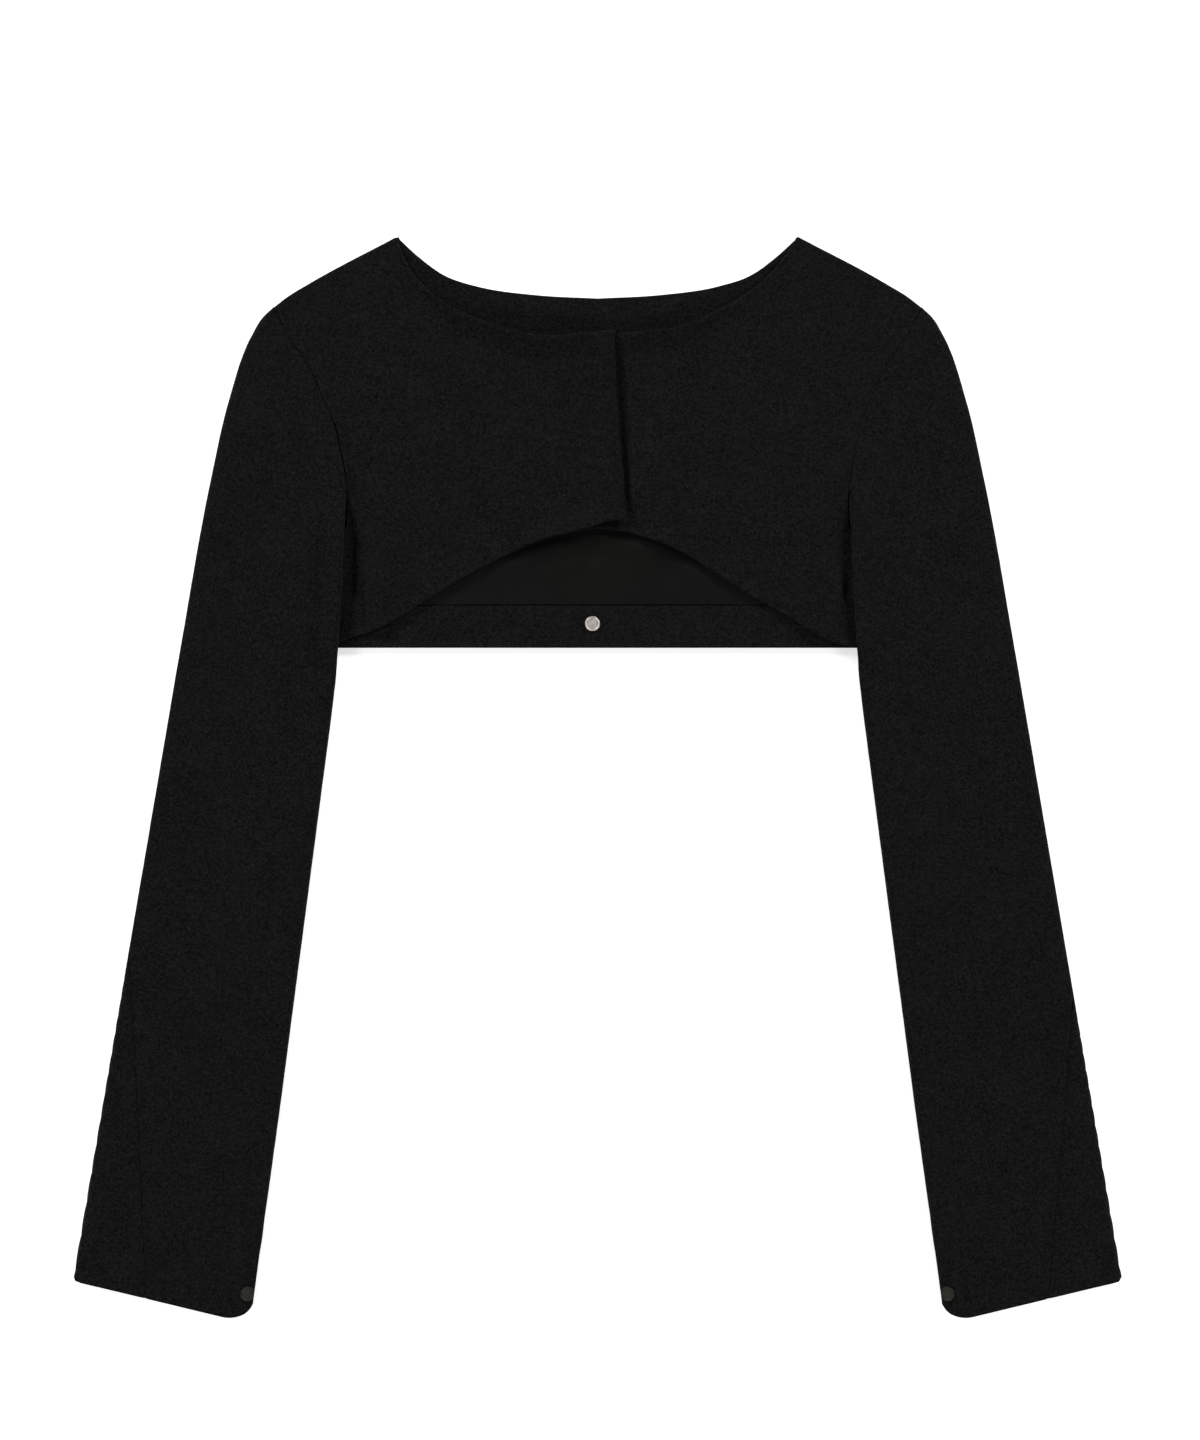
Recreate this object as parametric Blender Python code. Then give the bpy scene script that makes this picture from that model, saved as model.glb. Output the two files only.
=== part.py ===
"""Cropped shrug in black felted wool, laid flat on its back.

The back lies on the floor with its lining and facings on top of it. The two
fronts lie over those and overlap at the centre. A two-piece sleeve lies on
each side, and its inner fold rests on the edge of the body as far as the hem.

Lengths are millimetres here and become metres where a mesh is made. +X is the
wearer's left, +Y runs from cuffs to neck and +Z up from the floor. The origin
is on the floor under the middle of the garment's outline. Outlines are given
for the +X half, and a side of -1 mirrors them.
"""

import math

import bmesh
import bpy
import numpy as np
from mathutils import Matrix, Vector

MM = 0.001
LEFT = 1
RIGHT = -1

# ---- Cloth and layers ------------------------------------------------------

WOOL = 1.8
LINING = 1.0
GAP = 0.3

BACK_MID = WOOL / 2
LINING_MID = WOOL + GAP + LINING / 2
FACING_MID = WOOL + GAP + WOOL / 2
FRONT_MID = 2 * (WOOL + GAP) + WOOL / 2
FRONT_TOP = FRONT_MID + WOOL / 2
OVERLAP_RISE = WOOL + GAP

# ---- Body outline ----------------------------------------------------------

NECK_POINT = (124.6, 334.9)
SHOULDER_TIP = (201.0, 291.0)
UNDERARM = (155.4, 180.0)
HEM_Y = 79.4
HEM_AT_FOLD = (160.3, HEM_Y)
FACING_TOP_Y = 106.0

SHOULDER = [NECK_POINT, (180.4, 305.0), (192.6, 297.5), SHOULDER_TIP]
ARMHOLE = [SHOULDER_TIP, (190.8, 271.5), (180.4, 256.8), (170.6, 236.4),
           (163.0, 216.5), (158.8, 198.4), UNDERARM]
BACK_NECK = [NECK_POINT, (111.0, 322.4), (94.2, 310.6), (75.6, 304.4),
             (38.4, 298.8), (0.0, 296.7)]

# The fronts differ: the right one lies on top and ends past the centre.
RIGHT_NECK = [NECK_POINT, (115.9, 314.3), (104.2, 301.6), (88.7, 290.2),
              (65.3, 280.9), (47.2, 275.4), (24.2, 273.2), (8.7, 274.7),
              (-12.4, 276.4)]
RIGHT_HEM = [(158.3, 83.3), (137.6, 91.1), (111.6, 102.9), (86.2, 122.1),
             (60.1, 136.4), (34.3, 145.3), (13.6, 152.2), (-6.0, 156.4),
             (-20.6, 158.2)]
RIGHT_EDGE = [(-12.4, 276.4), (-15.5, 216.4), (-18.4, 181.7), (-20.6, 158.2)]
LEFT_NECK = [NECK_POINT, (118.4, 326.1), (105.7, 310.6), (87.4, 296.4),
             (67.0, 286.4), (53.9, 280.6), (28.2, 276.4), (-18.0, 275.0)]
LEFT_HEM = [(157.5, 80.4), (144.5, 83.6), (118.4, 96.1), (92.8, 112.8),
            (67.0, 128.0), (48.0, 139.6), (28.2, 149.4), (5.0, 154.4),
            (-18.0, 155.6)]
LEFT_EDGE = [(-18.0, 275.0), (-18.0, 155.6)]

# The body's side edges run on under the sleeves' folds below the underarm.
ARMHOLE_ROWS = 7
SIDE_ROWS = 3
SIDE_TUCK = 7.6
TUCK_STARTS_Y = 157.0
TUCK_ENDS_Y = 136.0

# Neck facing and lining of the back. Both have the cells of the neckline, so
# that their common edge is the same line.
NECK_CELLS = 9
NECK_FACING_ROWS = 3
LINING_ROWS = 6
HEM_FACING_CELLS = 20
HEM_FACING_ROWS = 2
FACING_LOWER = [(157.0, 310.4), (120.0, 283.0), (66.0, 262.0), (0.0, 254.7)]
LINING_SIDE = [(184.0, 293.0), (176.0, 266.0), (160.0, 233.0), (149.0, 200.0),
               (147.0, 165.0), (150.0, 140.0), (150.0, FACING_TOP_Y + GAP)]

# The right front climbs over the left one's edge between these two places.
CLIMB_FROM_X = -58.0
CLIMB_TO_X = -30.0

# ---- Sleeve outline and sections -------------------------------------------

SLEEVE_OUTER = [SHOULDER_TIP, (207.3, 285.0), (214.5, 272.8), (228.2, 233.1),
                (239.3, 183.5), (259.2, 71.9), (324.7, -312.7)]
FOLD_EDGE = [UNDERARM, (156.6, 150.0), (158.4, 110.0), HEM_AT_FOLD,
             (215.5, -339.2)]
CUFF_INNER_RADIUS = 20.0
CUFF_OUTER_RADIUS = 3.5
CUFF_CORNER_REACH = 60.0

# The back seam of the sleeve leaves the outer fold at this height and crosses
# the upper side on its way to the cuff.
SEAM_LEAVES_FOLD_Y = {LEFT: -129.0, RIGHT: -104.0}
SEAM_SLOPE = 0.237
SEAM_TURN_STEPS = (0.0, 9.0, 18.0, 30.0)

# The front seam lies on the underside, this far in from the inner fold.
FRONT_SEAM = 20.0
LIP_FLAT = 8.5
LIP_FOOT = 16.0
OUTER_BLEND = 24.0

# Soft folds fade out over this distance from the edges of a sleeve.
FOLD_FADE = 12.0

# Sections along the sleeve. A station runs from 0 at the shoulder tip to 1 at
# the underarm and 2 at the cuff. Lift is the underside of the inner fold, tip
# its top, blend the width over which the cloth comes from tip to middle, and
# outer the height of the outer fold.
SECTION_COLUMNS = ("station", "lift", "tip", "blend", "middle", "outer")
SECTIONS = [
    (0.000, 0.0, FRONT_TOP, 20.0, 6.0, 6.0),
    (0.300, 0.0, FRONT_TOP, 24.0, 6.2, 6.9),
    (0.800, 0.0, FRONT_TOP, 26.0, 6.3, 7.3),
    (1.000, 0.0, FRONT_TOP, 20.0, 6.2, 7.3),
    (1.025, 3.2, 8.4, 15.0, 6.3, 7.3),
    (1.048, 6.3, 10.5, 13.0, 6.4, 7.3),
    (1.205, 6.3, 10.5, 13.0, 6.4, 7.3),
    (1.235, 3.0, 8.8, 15.0, 6.3, 7.3),
    (1.270, 0.0, 7.3, 20.0, 6.2, 7.3),
    (1.850, 0.0, 7.0, 20.0, 6.0, 7.0),
    (1.920, 0.0, 4.2, 9.0, 6.2, 7.0),
    (2.000, 0.0, 3.9, 8.5, 6.3, 6.8),
]

# Stations of the rows of points. The last row of the armhole lies just short
# of the underarm.
STATIONS = [0.0, 0.06, 0.16, 0.30, 0.46, 0.62, 0.78, 0.92, 0.9975, 1.0,
            1.025, 1.048, 1.12, 1.205, 1.235, 1.27, 1.36, 1.46, 1.56, 1.66,
            1.75, 1.82, 1.88, 1.925, 1.965, 2.0]
UNDERARM_ROW = STATIONS.index(1.0)
LAST_ARMHOLE_ROW = UNDERARM_ROW - 1
LEAST_STATION_STEP = 0.02

# Places across a sleeve's upper cloth, and the cells of its other stretches
TOP_SHARES = np.array([0.0, 0.05, 0.11, 0.19, 0.31, 0.47, 0.64, 0.81, 1.0])
WRAP_ANGLES = np.radians([270.0, 225.0, 180.0, 135.0])
TOP_FOLD_CELLS = 2
UNDER_FOLD_CELLS = 4
FLOOR_CELLS = 5
PAST_FOLD_CELLS = 3
SLOPE_STEP = 0.05

# ---- Soft folds in the upper cloth -----------------------------------------

# Each runs from one place to another, fades out at its half width and raises
# or lowers the cloth by its height. X is the real X here, not mirrored.
FOLD_COLUMNS = ("from_x", "from_y", "to_x", "to_y", "half_width", "height")
FOLDS = [
    # Right front and right sleeve
    (-178.0, 258.0, -120.0, 222.0, 26.0, 1.1),
    (-146.0, 248.0, -104.0, 232.0, 16.0, -0.6),
    (-92.0, 270.0, -40.0, 264.0, 20.0, 1.5),
    (-46.0, 147.0, -36.0, 160.0, 16.0, 1.0),
    (-226.0, 86.0, -224.0, -150.0, 24.0, -0.9),
    (-202.0, 40.0, -216.0, -120.0, 18.0, 0.8),
    (-262.0, -20.0, -276.0, -96.0, 20.0, 0.7),
    (-240.0, -176.0, -262.0, -268.0, 22.0, -0.7),
    # Left front and left sleeve
    (76.0, 214.0, 128.0, 172.0, 22.0, -0.7),
    (100.0, 228.0, 138.0, 204.0, 16.0, 0.6),
    (42.0, 268.0, 92.0, 288.0, 20.0, 1.2),
    (40.0, 146.0, 62.0, 138.0, 17.0, 1.7),
    (219.0, 120.0, 226.0, -236.0, 22.0, -0.9),
    (200.0, -50.0, 214.0, -160.0, 16.0, 0.8),
    (250.0, -190.0, 262.0, -226.0, 18.0, 0.7),
    (268.0, -60.0, 280.0, -120.0, 20.0, 0.6),
]

# ---- Snaps -----------------------------------------------------------------

HEM_SNAP_XY = (-3.1, 94.7)
CUFF_SNAP_XY = (217.6, -320.5)
SNAP_RADIUS = 4.6
SNAP_HEIGHT = 1.5
SNAP_RIM = 0.9
SNAP_RIM_ROUND = 0.5
SNAP_FOOT_ROUND = 0.35
SNAP_DISH = 0.5
SNAP_DOME = 0.12
SNAP_SEGMENTS = 32
SNAP_SEAT_STATIONS = (1.93, 2.0)
SNAP_SEAT_REACH = 12.0

# ---- Finish ----------------------------------------------------------------

WOOL_LOOK = {"colour": (0.0078, 0.0076, 0.0074), "roughness": 0.95, "metallic": 0.0}
LINING_LOOK = {"colour": (0.0092, 0.0092, 0.0083), "roughness": 0.55, "metallic": 0.0}
LIGHT_NICKEL_LOOK = {"colour": (0.47, 0.43, 0.38), "roughness": 0.35, "metallic": 1.0}
DARK_NICKEL_LOOK = {"colour": (0.12, 0.12, 0.11), "roughness": 0.4, "metallic": 1.0}
SHARP_ANGLE = math.radians(45)


# ---- Small tools -----------------------------------------------------------

def ease(value):
    """Smooth step from 0 to 1."""
    value = np.clip(value, 0.0, 1.0)
    return value * value * (3.0 - 2.0 * value)


def unit(vector):
    return np.asarray(vector, float) / np.linalg.norm(vector)


def mirrored(points, side):
    return np.asarray(points, float) * (side, 1.0)


def spline(points, steps=24):
    """Dense smooth curve through a list of points."""
    points = np.asarray(points, float)
    if len(points) == 2:
        return points
    knots = np.concatenate([[0.0], np.cumsum(np.linalg.norm(np.diff(points, axis=0), axis=1))])
    slopes = np.gradient(points, knots, axis=0)
    curve = [points[:1]]
    for k in range(len(points) - 1):
        span = knots[k + 1] - knots[k]
        t = np.linspace(0.0, 1.0, steps + 1)[1:, None]
        curve.append((2 * t**3 - 3 * t**2 + 1) * points[k]
                     + (t**3 - 2 * t**2 + t) * span * slopes[k]
                     + (3 * t**2 - 2 * t**3) * points[k + 1]
                     + (t**3 - t**2) * span * slopes[k + 1])
    return np.concatenate(curve)


def arc_lengths(curve):
    return np.concatenate([[0.0], np.cumsum(np.linalg.norm(np.diff(curve, axis=0), axis=1))])


def along(curve, distances):
    """Points at the given distances along a curve."""
    arcs = arc_lengths(curve)
    return np.stack([np.interp(distances, arcs, curve[:, axis]) for axis in (0, 1)], axis=-1)


def at_fractions(curve, fractions):
    return along(curve, np.asarray(fractions) * arc_lengths(curve)[-1])


def normals(curve):
    """Unit normals, to the left of the direction of travel."""
    tangent = np.gradient(curve, axis=0)
    tangent /= np.linalg.norm(tangent, axis=1)[:, None]
    return np.stack([-tangent[:, 1], tangent[:, 0]], axis=-1)


def coons(top, bottom, left, right, across, down):
    """Grid of plan points between four edges, rows running from top to bottom."""
    u = np.asarray(across)[None, :, None]
    v = np.asarray(down)[:, None, None]
    sides = (1 - u) * left[:, None] + u * right[:, None]
    ends = (1 - v) * top[None] + v * bottom[None]
    corners = ((1 - u) * (1 - v) * top[0] + u * (1 - v) * top[-1]
               + (1 - u) * v * bottom[0] + u * v * bottom[-1])
    return sides + ends - corners


def folds(x, y):
    """Height that the soft folds add to the upper cloth at a place."""
    total = np.zeros(np.broadcast(x, y).shape)
    for row in FOLDS:
        fold = dict(zip(FOLD_COLUMNS, row))
        from_x, from_y = fold["from_x"], fold["from_y"]
        run = np.array([fold["to_x"] - from_x, fold["to_y"] - from_y])
        share = ((x - from_x) * run[0] + (y - from_y) * run[1]) / (run @ run)
        share = np.clip(share, 0.0, 1.0)
        away = np.hypot(x - from_x - share * run[0], y - from_y - share * run[1])
        total += fold["height"] * np.clip(1 - (away / fold["half_width"]) ** 2, 0.0, None) ** 2
    return total


# ---- Making objects --------------------------------------------------------

def clear_scene():
    for item in list(bpy.data.objects):
        bpy.data.objects.remove(item, do_unlink=True)


def make_material(name, look):
    material = bpy.data.materials.new(name)
    material.use_nodes = True
    shader = material.node_tree.nodes["Principled BSDF"]
    shader.inputs["Base Color"].default_value = (*look["colour"], 1.0)
    shader.inputs["Roughness"].default_value = look["roughness"]
    shader.inputs["Metallic"].default_value = look["metallic"]
    material.diffuse_color = (*look["colour"], 1.0)
    return material


def make_object(name, mesh, look, parent):
    """Turn a bmesh into an object with its own material."""
    data = bpy.data.meshes.new(name)
    mesh.to_mesh(data)
    mesh.free()
    data.materials.append(make_material(name, look))
    data.shade_smooth()
    data.set_sharp_from_angle(angle=SHARP_ANGLE)
    item = bpy.data.objects.new(name, data)
    bpy.context.scene.collection.objects.link(item)
    item.parent = parent
    return item


def make_wall(name, outer, inner, cells, look, parent):
    """Close an outer and an inner grid of points into one wall of cloth.

    Only the marked cells are built, and their free sides are closed. Points
    that coincide are merged, so a grid may taper to nothing along a row.
    """
    mesh = bmesh.new()
    layers = (outer * MM, inner * MM)
    made = {}

    def vertex(layer, corner):
        if (layer, corner) not in made:
            made[layer, corner] = mesh.verts.new(layers[layer][corner])
        return made[layer, corner]

    rows, columns = cells.shape
    for i in range(rows):
        for j in range(columns):
            if not cells[i, j]:
                continue
            ring = [(i, j), (i, j + 1), (i + 1, j + 1), (i + 1, j)]
            mesh.faces.new([vertex(0, corner) for corner in ring])
            mesh.faces.new([vertex(1, corner) for corner in reversed(ring)])
            neighbours = [(i - 1, j), (i, j + 1), (i + 1, j), (i, j - 1)]
            for side, (row, column) in enumerate(neighbours):
                inside = 0 <= row < rows and 0 <= column < columns
                if inside and cells[row, column]:
                    continue
                start, end = ring[side], ring[(side + 1) % 4]
                mesh.faces.new([vertex(0, end), vertex(0, start),
                                vertex(1, start), vertex(1, end)])
    bmesh.ops.remove_doubles(mesh, verts=mesh.verts, dist=1e-6)
    bmesh.ops.recalc_face_normals(mesh, faces=mesh.faces)
    return make_object(name, mesh, look, parent)


def flat_wall(plan, middle, thickness):
    """Upper and lower points of cloth that lies level, from its middle plane."""
    middle = np.broadcast_to(middle, plan.shape[:2])
    upper = np.dstack([plan, middle + thickness / 2])
    lower = np.dstack([plan, middle - thickness / 2])
    return upper, lower


def all_cells(grid):
    """Mask that builds every cell of a grid of points."""
    return np.ones((grid.shape[0] - 1, grid.shape[1] - 1), bool)


# ---- Body ------------------------------------------------------------------

SHOULDER_RADIUS = (FRONT_MID - BACK_MID) / 2
SHOULDER_INSET = SHOULDER_RADIUS + WOOL / 2
SHOULDER_CELLS = 5
CURL_ANGLES = np.radians([84.0, 56.0, 28.0])


def shoulder_out(side):
    """Direction square to the shoulder line, away from the body."""
    run = np.subtract(SHOULDER[1], SHOULDER[0])
    return unit((-run[1], run[0])) * (side, 1.0)


def side_edge(side):
    """Armhole and side of a body panel, from the shoulder fold to the hem."""
    armhole = spline(ARMHOLE)
    armhole = armhole + normals(armhole) * (-GAP / 2)
    start = armhole[0] - shoulder_out(LEFT) * SHOULDER_INSET
    armhole = np.concatenate([[start], armhole[armhole[:, 1] < start[1] - 1.0]])
    fold = spline(FOLD_EDGE[:4])
    tuck = ease((TUCK_STARTS_Y - fold[:, 1]) / (TUCK_STARTS_Y - TUCK_ENDS_Y))
    fold = fold + np.stack([-GAP + (SIDE_TUCK + GAP) * tuck, 0 * tuck], axis=-1)
    return mirrored(np.concatenate([armhole, fold[1:]]), side)


def side_fractions():
    """Places of the rows of a body panel along its side edge."""
    edge = side_edge(LEFT)
    arcs = arc_lengths(edge)
    total = arcs[-1]
    underarm = np.interp(-UNDERARM[1], -edge[:, 1], arcs)
    tuck = [np.interp(-y, -edge[:, 1], arcs)
            for y in (TUCK_STARTS_Y, (TUCK_STARTS_Y + TUCK_ENDS_Y) / 2, TUCK_ENDS_Y)]
    places = [*np.linspace(0.0, underarm, ARMHOLE_ROWS + 1), *tuck]
    places += list(np.linspace(tuck[-1], total, SIDE_ROWS + 1))[1:]
    return np.array(places) / total


def shoulder_edge(side):
    """Shoulder of a body panel from armhole to neck, inside its fold."""
    line = spline(SHOULDER)[::-1] - shoulder_out(LEFT) * SHOULDER_INSET
    points = at_fractions(line, np.linspace(0.0, 1.0, SHOULDER_CELLS + 1))
    points[0] = side_edge(LEFT)[0]
    return mirrored(points, side)


def neck_points(neckline):
    """Corners of a neckline, from the neck point to its end."""
    return at_fractions(spline(neckline), np.linspace(0.0, 1.0, NECK_CELLS + 1))


def top_edge(side, neckline):
    """Upper edge of a half panel, from the armhole to the end of the neckline."""
    neck = mirrored(neck_points(neckline), side)
    return np.concatenate([shoulder_edge(side), neck[1:]])


def curl_rows(shoulder, out, middle, rises):
    """Rows of a shoulder fold, from its seam at half height to the flat cloth."""
    outer = []
    inner = []
    for angle in CURL_ANGLES:
        reach = SHOULDER_RADIUS * math.sin(angle)
        climb = SHOULDER_RADIUS * (1 - math.cos(angle)) * rises
        centre = np.column_stack([shoulder + out * reach,
                                  np.full(len(shoulder), middle + climb)])
        normal = np.array([*(out * math.sin(angle)), -rises * math.cos(angle)])
        outer.append(centre + normal * WOOL / 2)
        inner.append(centre - normal * WOOL / 2)
    return np.array(outer), np.array(inner)


def add_curl(outer, inner, columns, side, middle, rises):
    """Put a shoulder fold on a range of columns, above the first row."""
    shoulder = outer[0, columns, :2]
    curl_outer, curl_inner = curl_rows(shoulder, shoulder_out(side), middle, rises)
    rows = len(CURL_ANGLES)
    outer_rows = np.repeat(outer[:1], rows, axis=0)
    inner_rows = np.repeat(inner[:1], rows, axis=0)
    outer_rows[:, columns] = curl_outer
    inner_rows[:, columns] = curl_inner
    return outer_rows, inner_rows


def front_middle(plan, climb):
    """Middle plane of a front, with its folds and its climb over the other."""
    x = plan[..., 0]
    middle = FRONT_MID + folds(x, plan[..., 1])
    if climb:
        middle = middle + OVERLAP_RISE * ease((x - CLIMB_FROM_X) / (CLIMB_TO_X - CLIMB_FROM_X))
    return middle


def make_front(name, side, neckline, hem, edge, climb, parent):
    top = top_edge(side, neckline)
    across = arc_lengths(top) / arc_lengths(top)[-1]
    down = side_fractions()
    outside = at_fractions(side_edge(side), down)
    hem_curve = np.concatenate([[outside[-1] * (side, 1.0)], spline(hem)])
    bottom = mirrored(at_fractions(hem_curve, across), side)
    middle = mirrored(at_fractions(spline(edge), down), side)
    plan = coons(top, bottom, outside, middle, across, down)
    outer, inner = flat_wall(plan, front_middle(plan, climb), WOOL)
    columns = slice(0, SHOULDER_CELLS + 1)
    curl_outer, curl_inner = add_curl(outer, inner, columns, side, FRONT_MID, -1)
    outer = np.concatenate([curl_outer, outer])
    inner = np.concatenate([curl_inner, inner])
    cells = all_cells(outer)
    cells[:len(CURL_ANGLES), SHOULDER_CELLS:] = False
    return make_wall(name, outer, inner, cells, WOOL_LOOK, parent)


def make_back(parent):
    half = top_edge(LEFT, BACK_NECK)
    top = both_halves(half)
    across = arc_lengths(top) / arc_lengths(top)[-1]
    down = side_fractions()
    left = at_fractions(side_edge(LEFT), down)
    right = mirrored(left, RIGHT)
    bottom = at_fractions(np.array([right[-1], left[-1]]), across)
    plan = coons(top, bottom, right, left, across, down)
    inner, outer = flat_wall(plan, BACK_MID, WOOL)
    last = outer.shape[1]
    right_columns = slice(0, SHOULDER_CELLS + 1)
    left_columns = slice(last - SHOULDER_CELLS - 1, last)
    curl_outer, curl_inner = add_curl(outer, inner, right_columns, RIGHT, BACK_MID, 1)
    other_outer, other_inner = add_curl(outer, inner, left_columns, LEFT, BACK_MID, 1)
    curl_outer[:, left_columns] = other_outer[:, left_columns]
    curl_inner[:, left_columns] = other_inner[:, left_columns]
    outer = np.concatenate([curl_outer, outer])
    inner = np.concatenate([curl_inner, inner])
    cells = all_cells(outer)
    cells[:len(CURL_ANGLES), SHOULDER_CELLS:last - SHOULDER_CELLS - 1] = False
    return make_wall("back", outer, inner, cells, WOOL_LOOK, parent)


def make_hem_facing(parent):
    reach = side_edge(LEFT)[-1][0]
    x = np.linspace(-reach, reach, HEM_FACING_CELLS + 1)
    y = np.linspace(HEM_Y + GAP, FACING_TOP_Y, HEM_FACING_ROWS + 1)
    plan = np.dstack(np.meshgrid(x, y))
    outer, inner = flat_wall(plan, FACING_MID, WOOL)
    return make_wall("back_hem_facing", outer, inner, all_cells(outer), WOOL_LOOK, parent)


def facing_neck():
    """Upper edge of the neck facing, from beside the shoulder fold to the centre.

    It has the corners of the back's neckline and lies just inside it.
    """
    neck = neck_points(BACK_NECK)
    past_fold = 2 * SHOULDER_INSET / np.linalg.norm(neck[1] - neck[0])
    neck[0] += past_fold * (neck[1] - neck[0])
    return neck - (0.0, GAP)


def both_halves(half):
    """A whole edge from its right end to its left, from the half of one side."""
    return np.concatenate([mirrored(half, RIGHT), half[:-1][::-1]])


def make_neck_facing(parent):
    across = np.linspace(0.0, 1.0, 2 * NECK_CELLS + 1)
    down = np.linspace(0.0, 1.0, NECK_FACING_ROWS + 1)
    top = both_halves(facing_neck())
    bottom = both_halves(neck_points(FACING_LOWER))
    right = at_fractions(np.array([top[0], bottom[0]]), down)
    left = at_fractions(np.array([top[-1], bottom[-1]]), down)
    plan = coons(top, bottom, right, left, across, down)
    outer, inner = flat_wall(plan, FACING_MID, WOOL)
    return make_wall("back_neck_facing", outer, inner, all_cells(outer), WOOL_LOOK, parent)


def make_lining(parent):
    lower = neck_points(FACING_LOWER) - (0.0, GAP)
    corner = np.asarray(LINING_SIDE[0])
    half = np.concatenate([[corner, (corner + lower[0]) / 2], lower])
    top = both_halves(half)
    across = arc_lengths(top) / arc_lengths(top)[-1]
    down = np.linspace(0.0, 1.0, LINING_ROWS + 1)
    left = at_fractions(spline(LINING_SIDE), down)
    right = mirrored(left, RIGHT)
    bottom = at_fractions(np.array([right[-1], left[-1]]), across)
    plan = coons(top, bottom, right, left, across, down)
    outer, inner = flat_wall(plan, LINING_MID, LINING)
    return make_wall("back_lining", outer, inner, all_cells(outer), LINING_LOOK, parent)


# ---- Sleeves ---------------------------------------------------------------

class SleeveRow:
    """One section across a sleeve, from its inner edge to its outer fold.

    Distances run along the row from the inner edge, heights from the floor.
    """

    def __init__(self, station, side):
        self.side = side
        table = dict(zip(SECTION_COLUMNS, np.transpose(SECTIONS)))
        section = {name: np.interp(station, table["station"], table[name]) for name in table}
        self.lift = section["lift"]
        self.tip = section["tip"]
        self.blend = section["blend"]
        self.middle = section["middle"]
        self.outer = section["outer"]
        self.open = station < 1.0
        self.lay_out(station)
        self.inner_radius = (self.tip - self.lift - WOOL) / 2
        self.outer_radius = (self.outer - WOOL) / 2
        self.start = 0.0 if self.open else self.inner_radius + WOOL / 2
        self.end = self.width - self.outer_radius - WOOL / 2
        self.quarter = self.outer_radius * math.pi / 2
        below = SEAM_LEAVES_FOLD_Y[side] - self.tail[1]
        self.seam = max(0.0, SEAM_SLOPE * below)

    def lay_out(self, station):
        """Ends, direction and corner rounding of the row in plan."""
        armhole = spline(ARMHOLE)
        fold = spline(FOLD_EDGE[:4])
        fold = np.concatenate([fold, [FOLD_EDGE[4]]])
        outer = spline(SLEEVE_OUTER[:6])
        outer = np.concatenate([outer, [SLEEVE_OUTER[6]]])
        armhole_length = arc_lengths(armhole)[-1]
        fold_length = arc_lengths(fold)[-1]
        inset = SHOULDER_INSET
        if station <= 1.0:
            distance = inset + station * (armhole_length - inset)
            edge = armhole + normals(armhole) * (GAP / 2)
            head = along(edge, distance)
        else:
            distance = armhole_length + (station - 1.0) * fold_length
            head = along(fold, distance - armhole_length)
        share = (distance - inset) / (armhole_length + fold_length - inset)
        tail = at_fractions(outer, share)
        if station == 0.0:
            tail = head + shoulder_out(LEFT) * SHOULDER_INSET
        self.head = head
        self.tail = tail
        self.width = np.linalg.norm(tail - head)
        self.direction = (tail - head) / self.width
        left_over = armhole_length + fold_length - distance
        self.rounding = ease(1.0 - left_over / CUFF_CORNER_REACH)
        self.up_inner = unit(np.subtract(FOLD_EDGE[3], FOLD_EDGE[4]))
        self.up_outer = unit(np.subtract(SLEEVE_OUTER[5], SLEEVE_OUTER[6]))

    def place(self, points):
        """World points of (distance, height) pairs on this row."""
        points = np.asarray(points, float)
        distance = points[..., 0]
        plan = self.head + distance[..., None] * self.direction
        inner = CUFF_INNER_RADIUS - np.clip(distance, 0.0, CUFF_INNER_RADIUS)
        outer = CUFF_OUTER_RADIUS - np.clip(self.width - distance, 0.0, CUFF_OUTER_RADIUS)
        rise_inner = CUFF_INNER_RADIUS - np.sqrt(CUFF_INNER_RADIUS**2 - inner**2)
        rise_outer = CUFF_OUTER_RADIUS - np.sqrt(CUFF_OUTER_RADIUS**2 - outer**2)
        plan = plan + self.rounding * rise_inner[..., None] * self.up_inner
        plan = plan + self.rounding * rise_outer[..., None] * self.up_outer
        plan = plan * (self.side, 1.0)
        return np.concatenate([plan, points[..., 1:]], axis=-1)

    def top_middle(self, distance):
        """Height of the middle plane of the upper cloth."""
        distance = np.asarray(distance, float)
        inner = ease((distance - self.start) / self.blend)
        outer = ease((self.end - distance) / OUTER_BLEND)
        height = (self.middle + (self.tip - self.middle) * (1 - inner)
                  + (self.outer - self.middle) * (1 - outer))
        plan = self.place(np.stack([distance, height], axis=-1))
        fade = ease((self.end - distance) / FOLD_FADE)
        if not self.open:
            fade = fade * ease((distance - self.start) / FOLD_FADE)
        return height - WOOL / 2 + fade * folds(plan[..., 0], plan[..., 1])

    def lip_middle(self, distance):
        """Height of the middle plane of the cloth under the inner fold."""
        foot = ease((np.asarray(distance) - LIP_FLAT) / (LIP_FOOT - LIP_FLAT))
        return WOOL / 2 + self.lift * (1 - foot)

    def walled(self, distance, middle, faces_up):
        """Outer and inner points of cloth with the given middle line."""
        line = np.stack([distance, middle(distance)], axis=-1)
        rise = middle(distance + SLOPE_STEP) - middle(distance - SLOPE_STEP)
        normal = np.stack([-rise, np.full_like(rise, 2 * SLOPE_STEP)], axis=-1)
        normal /= np.linalg.norm(normal, axis=-1)[..., None]
        normal *= 1 if faces_up else -1
        return line + normal * WOOL / 2, line - normal * WOOL / 2

    def arc(self, centre, radius, angles):
        """Outer and inner points of a fold, angles measured from +distance."""
        spoke = np.stack([np.cos(angles), np.sin(angles)], axis=-1)
        return centre + spoke * (radius + WOOL / 2), centre + spoke * (radius - WOOL / 2)

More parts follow.
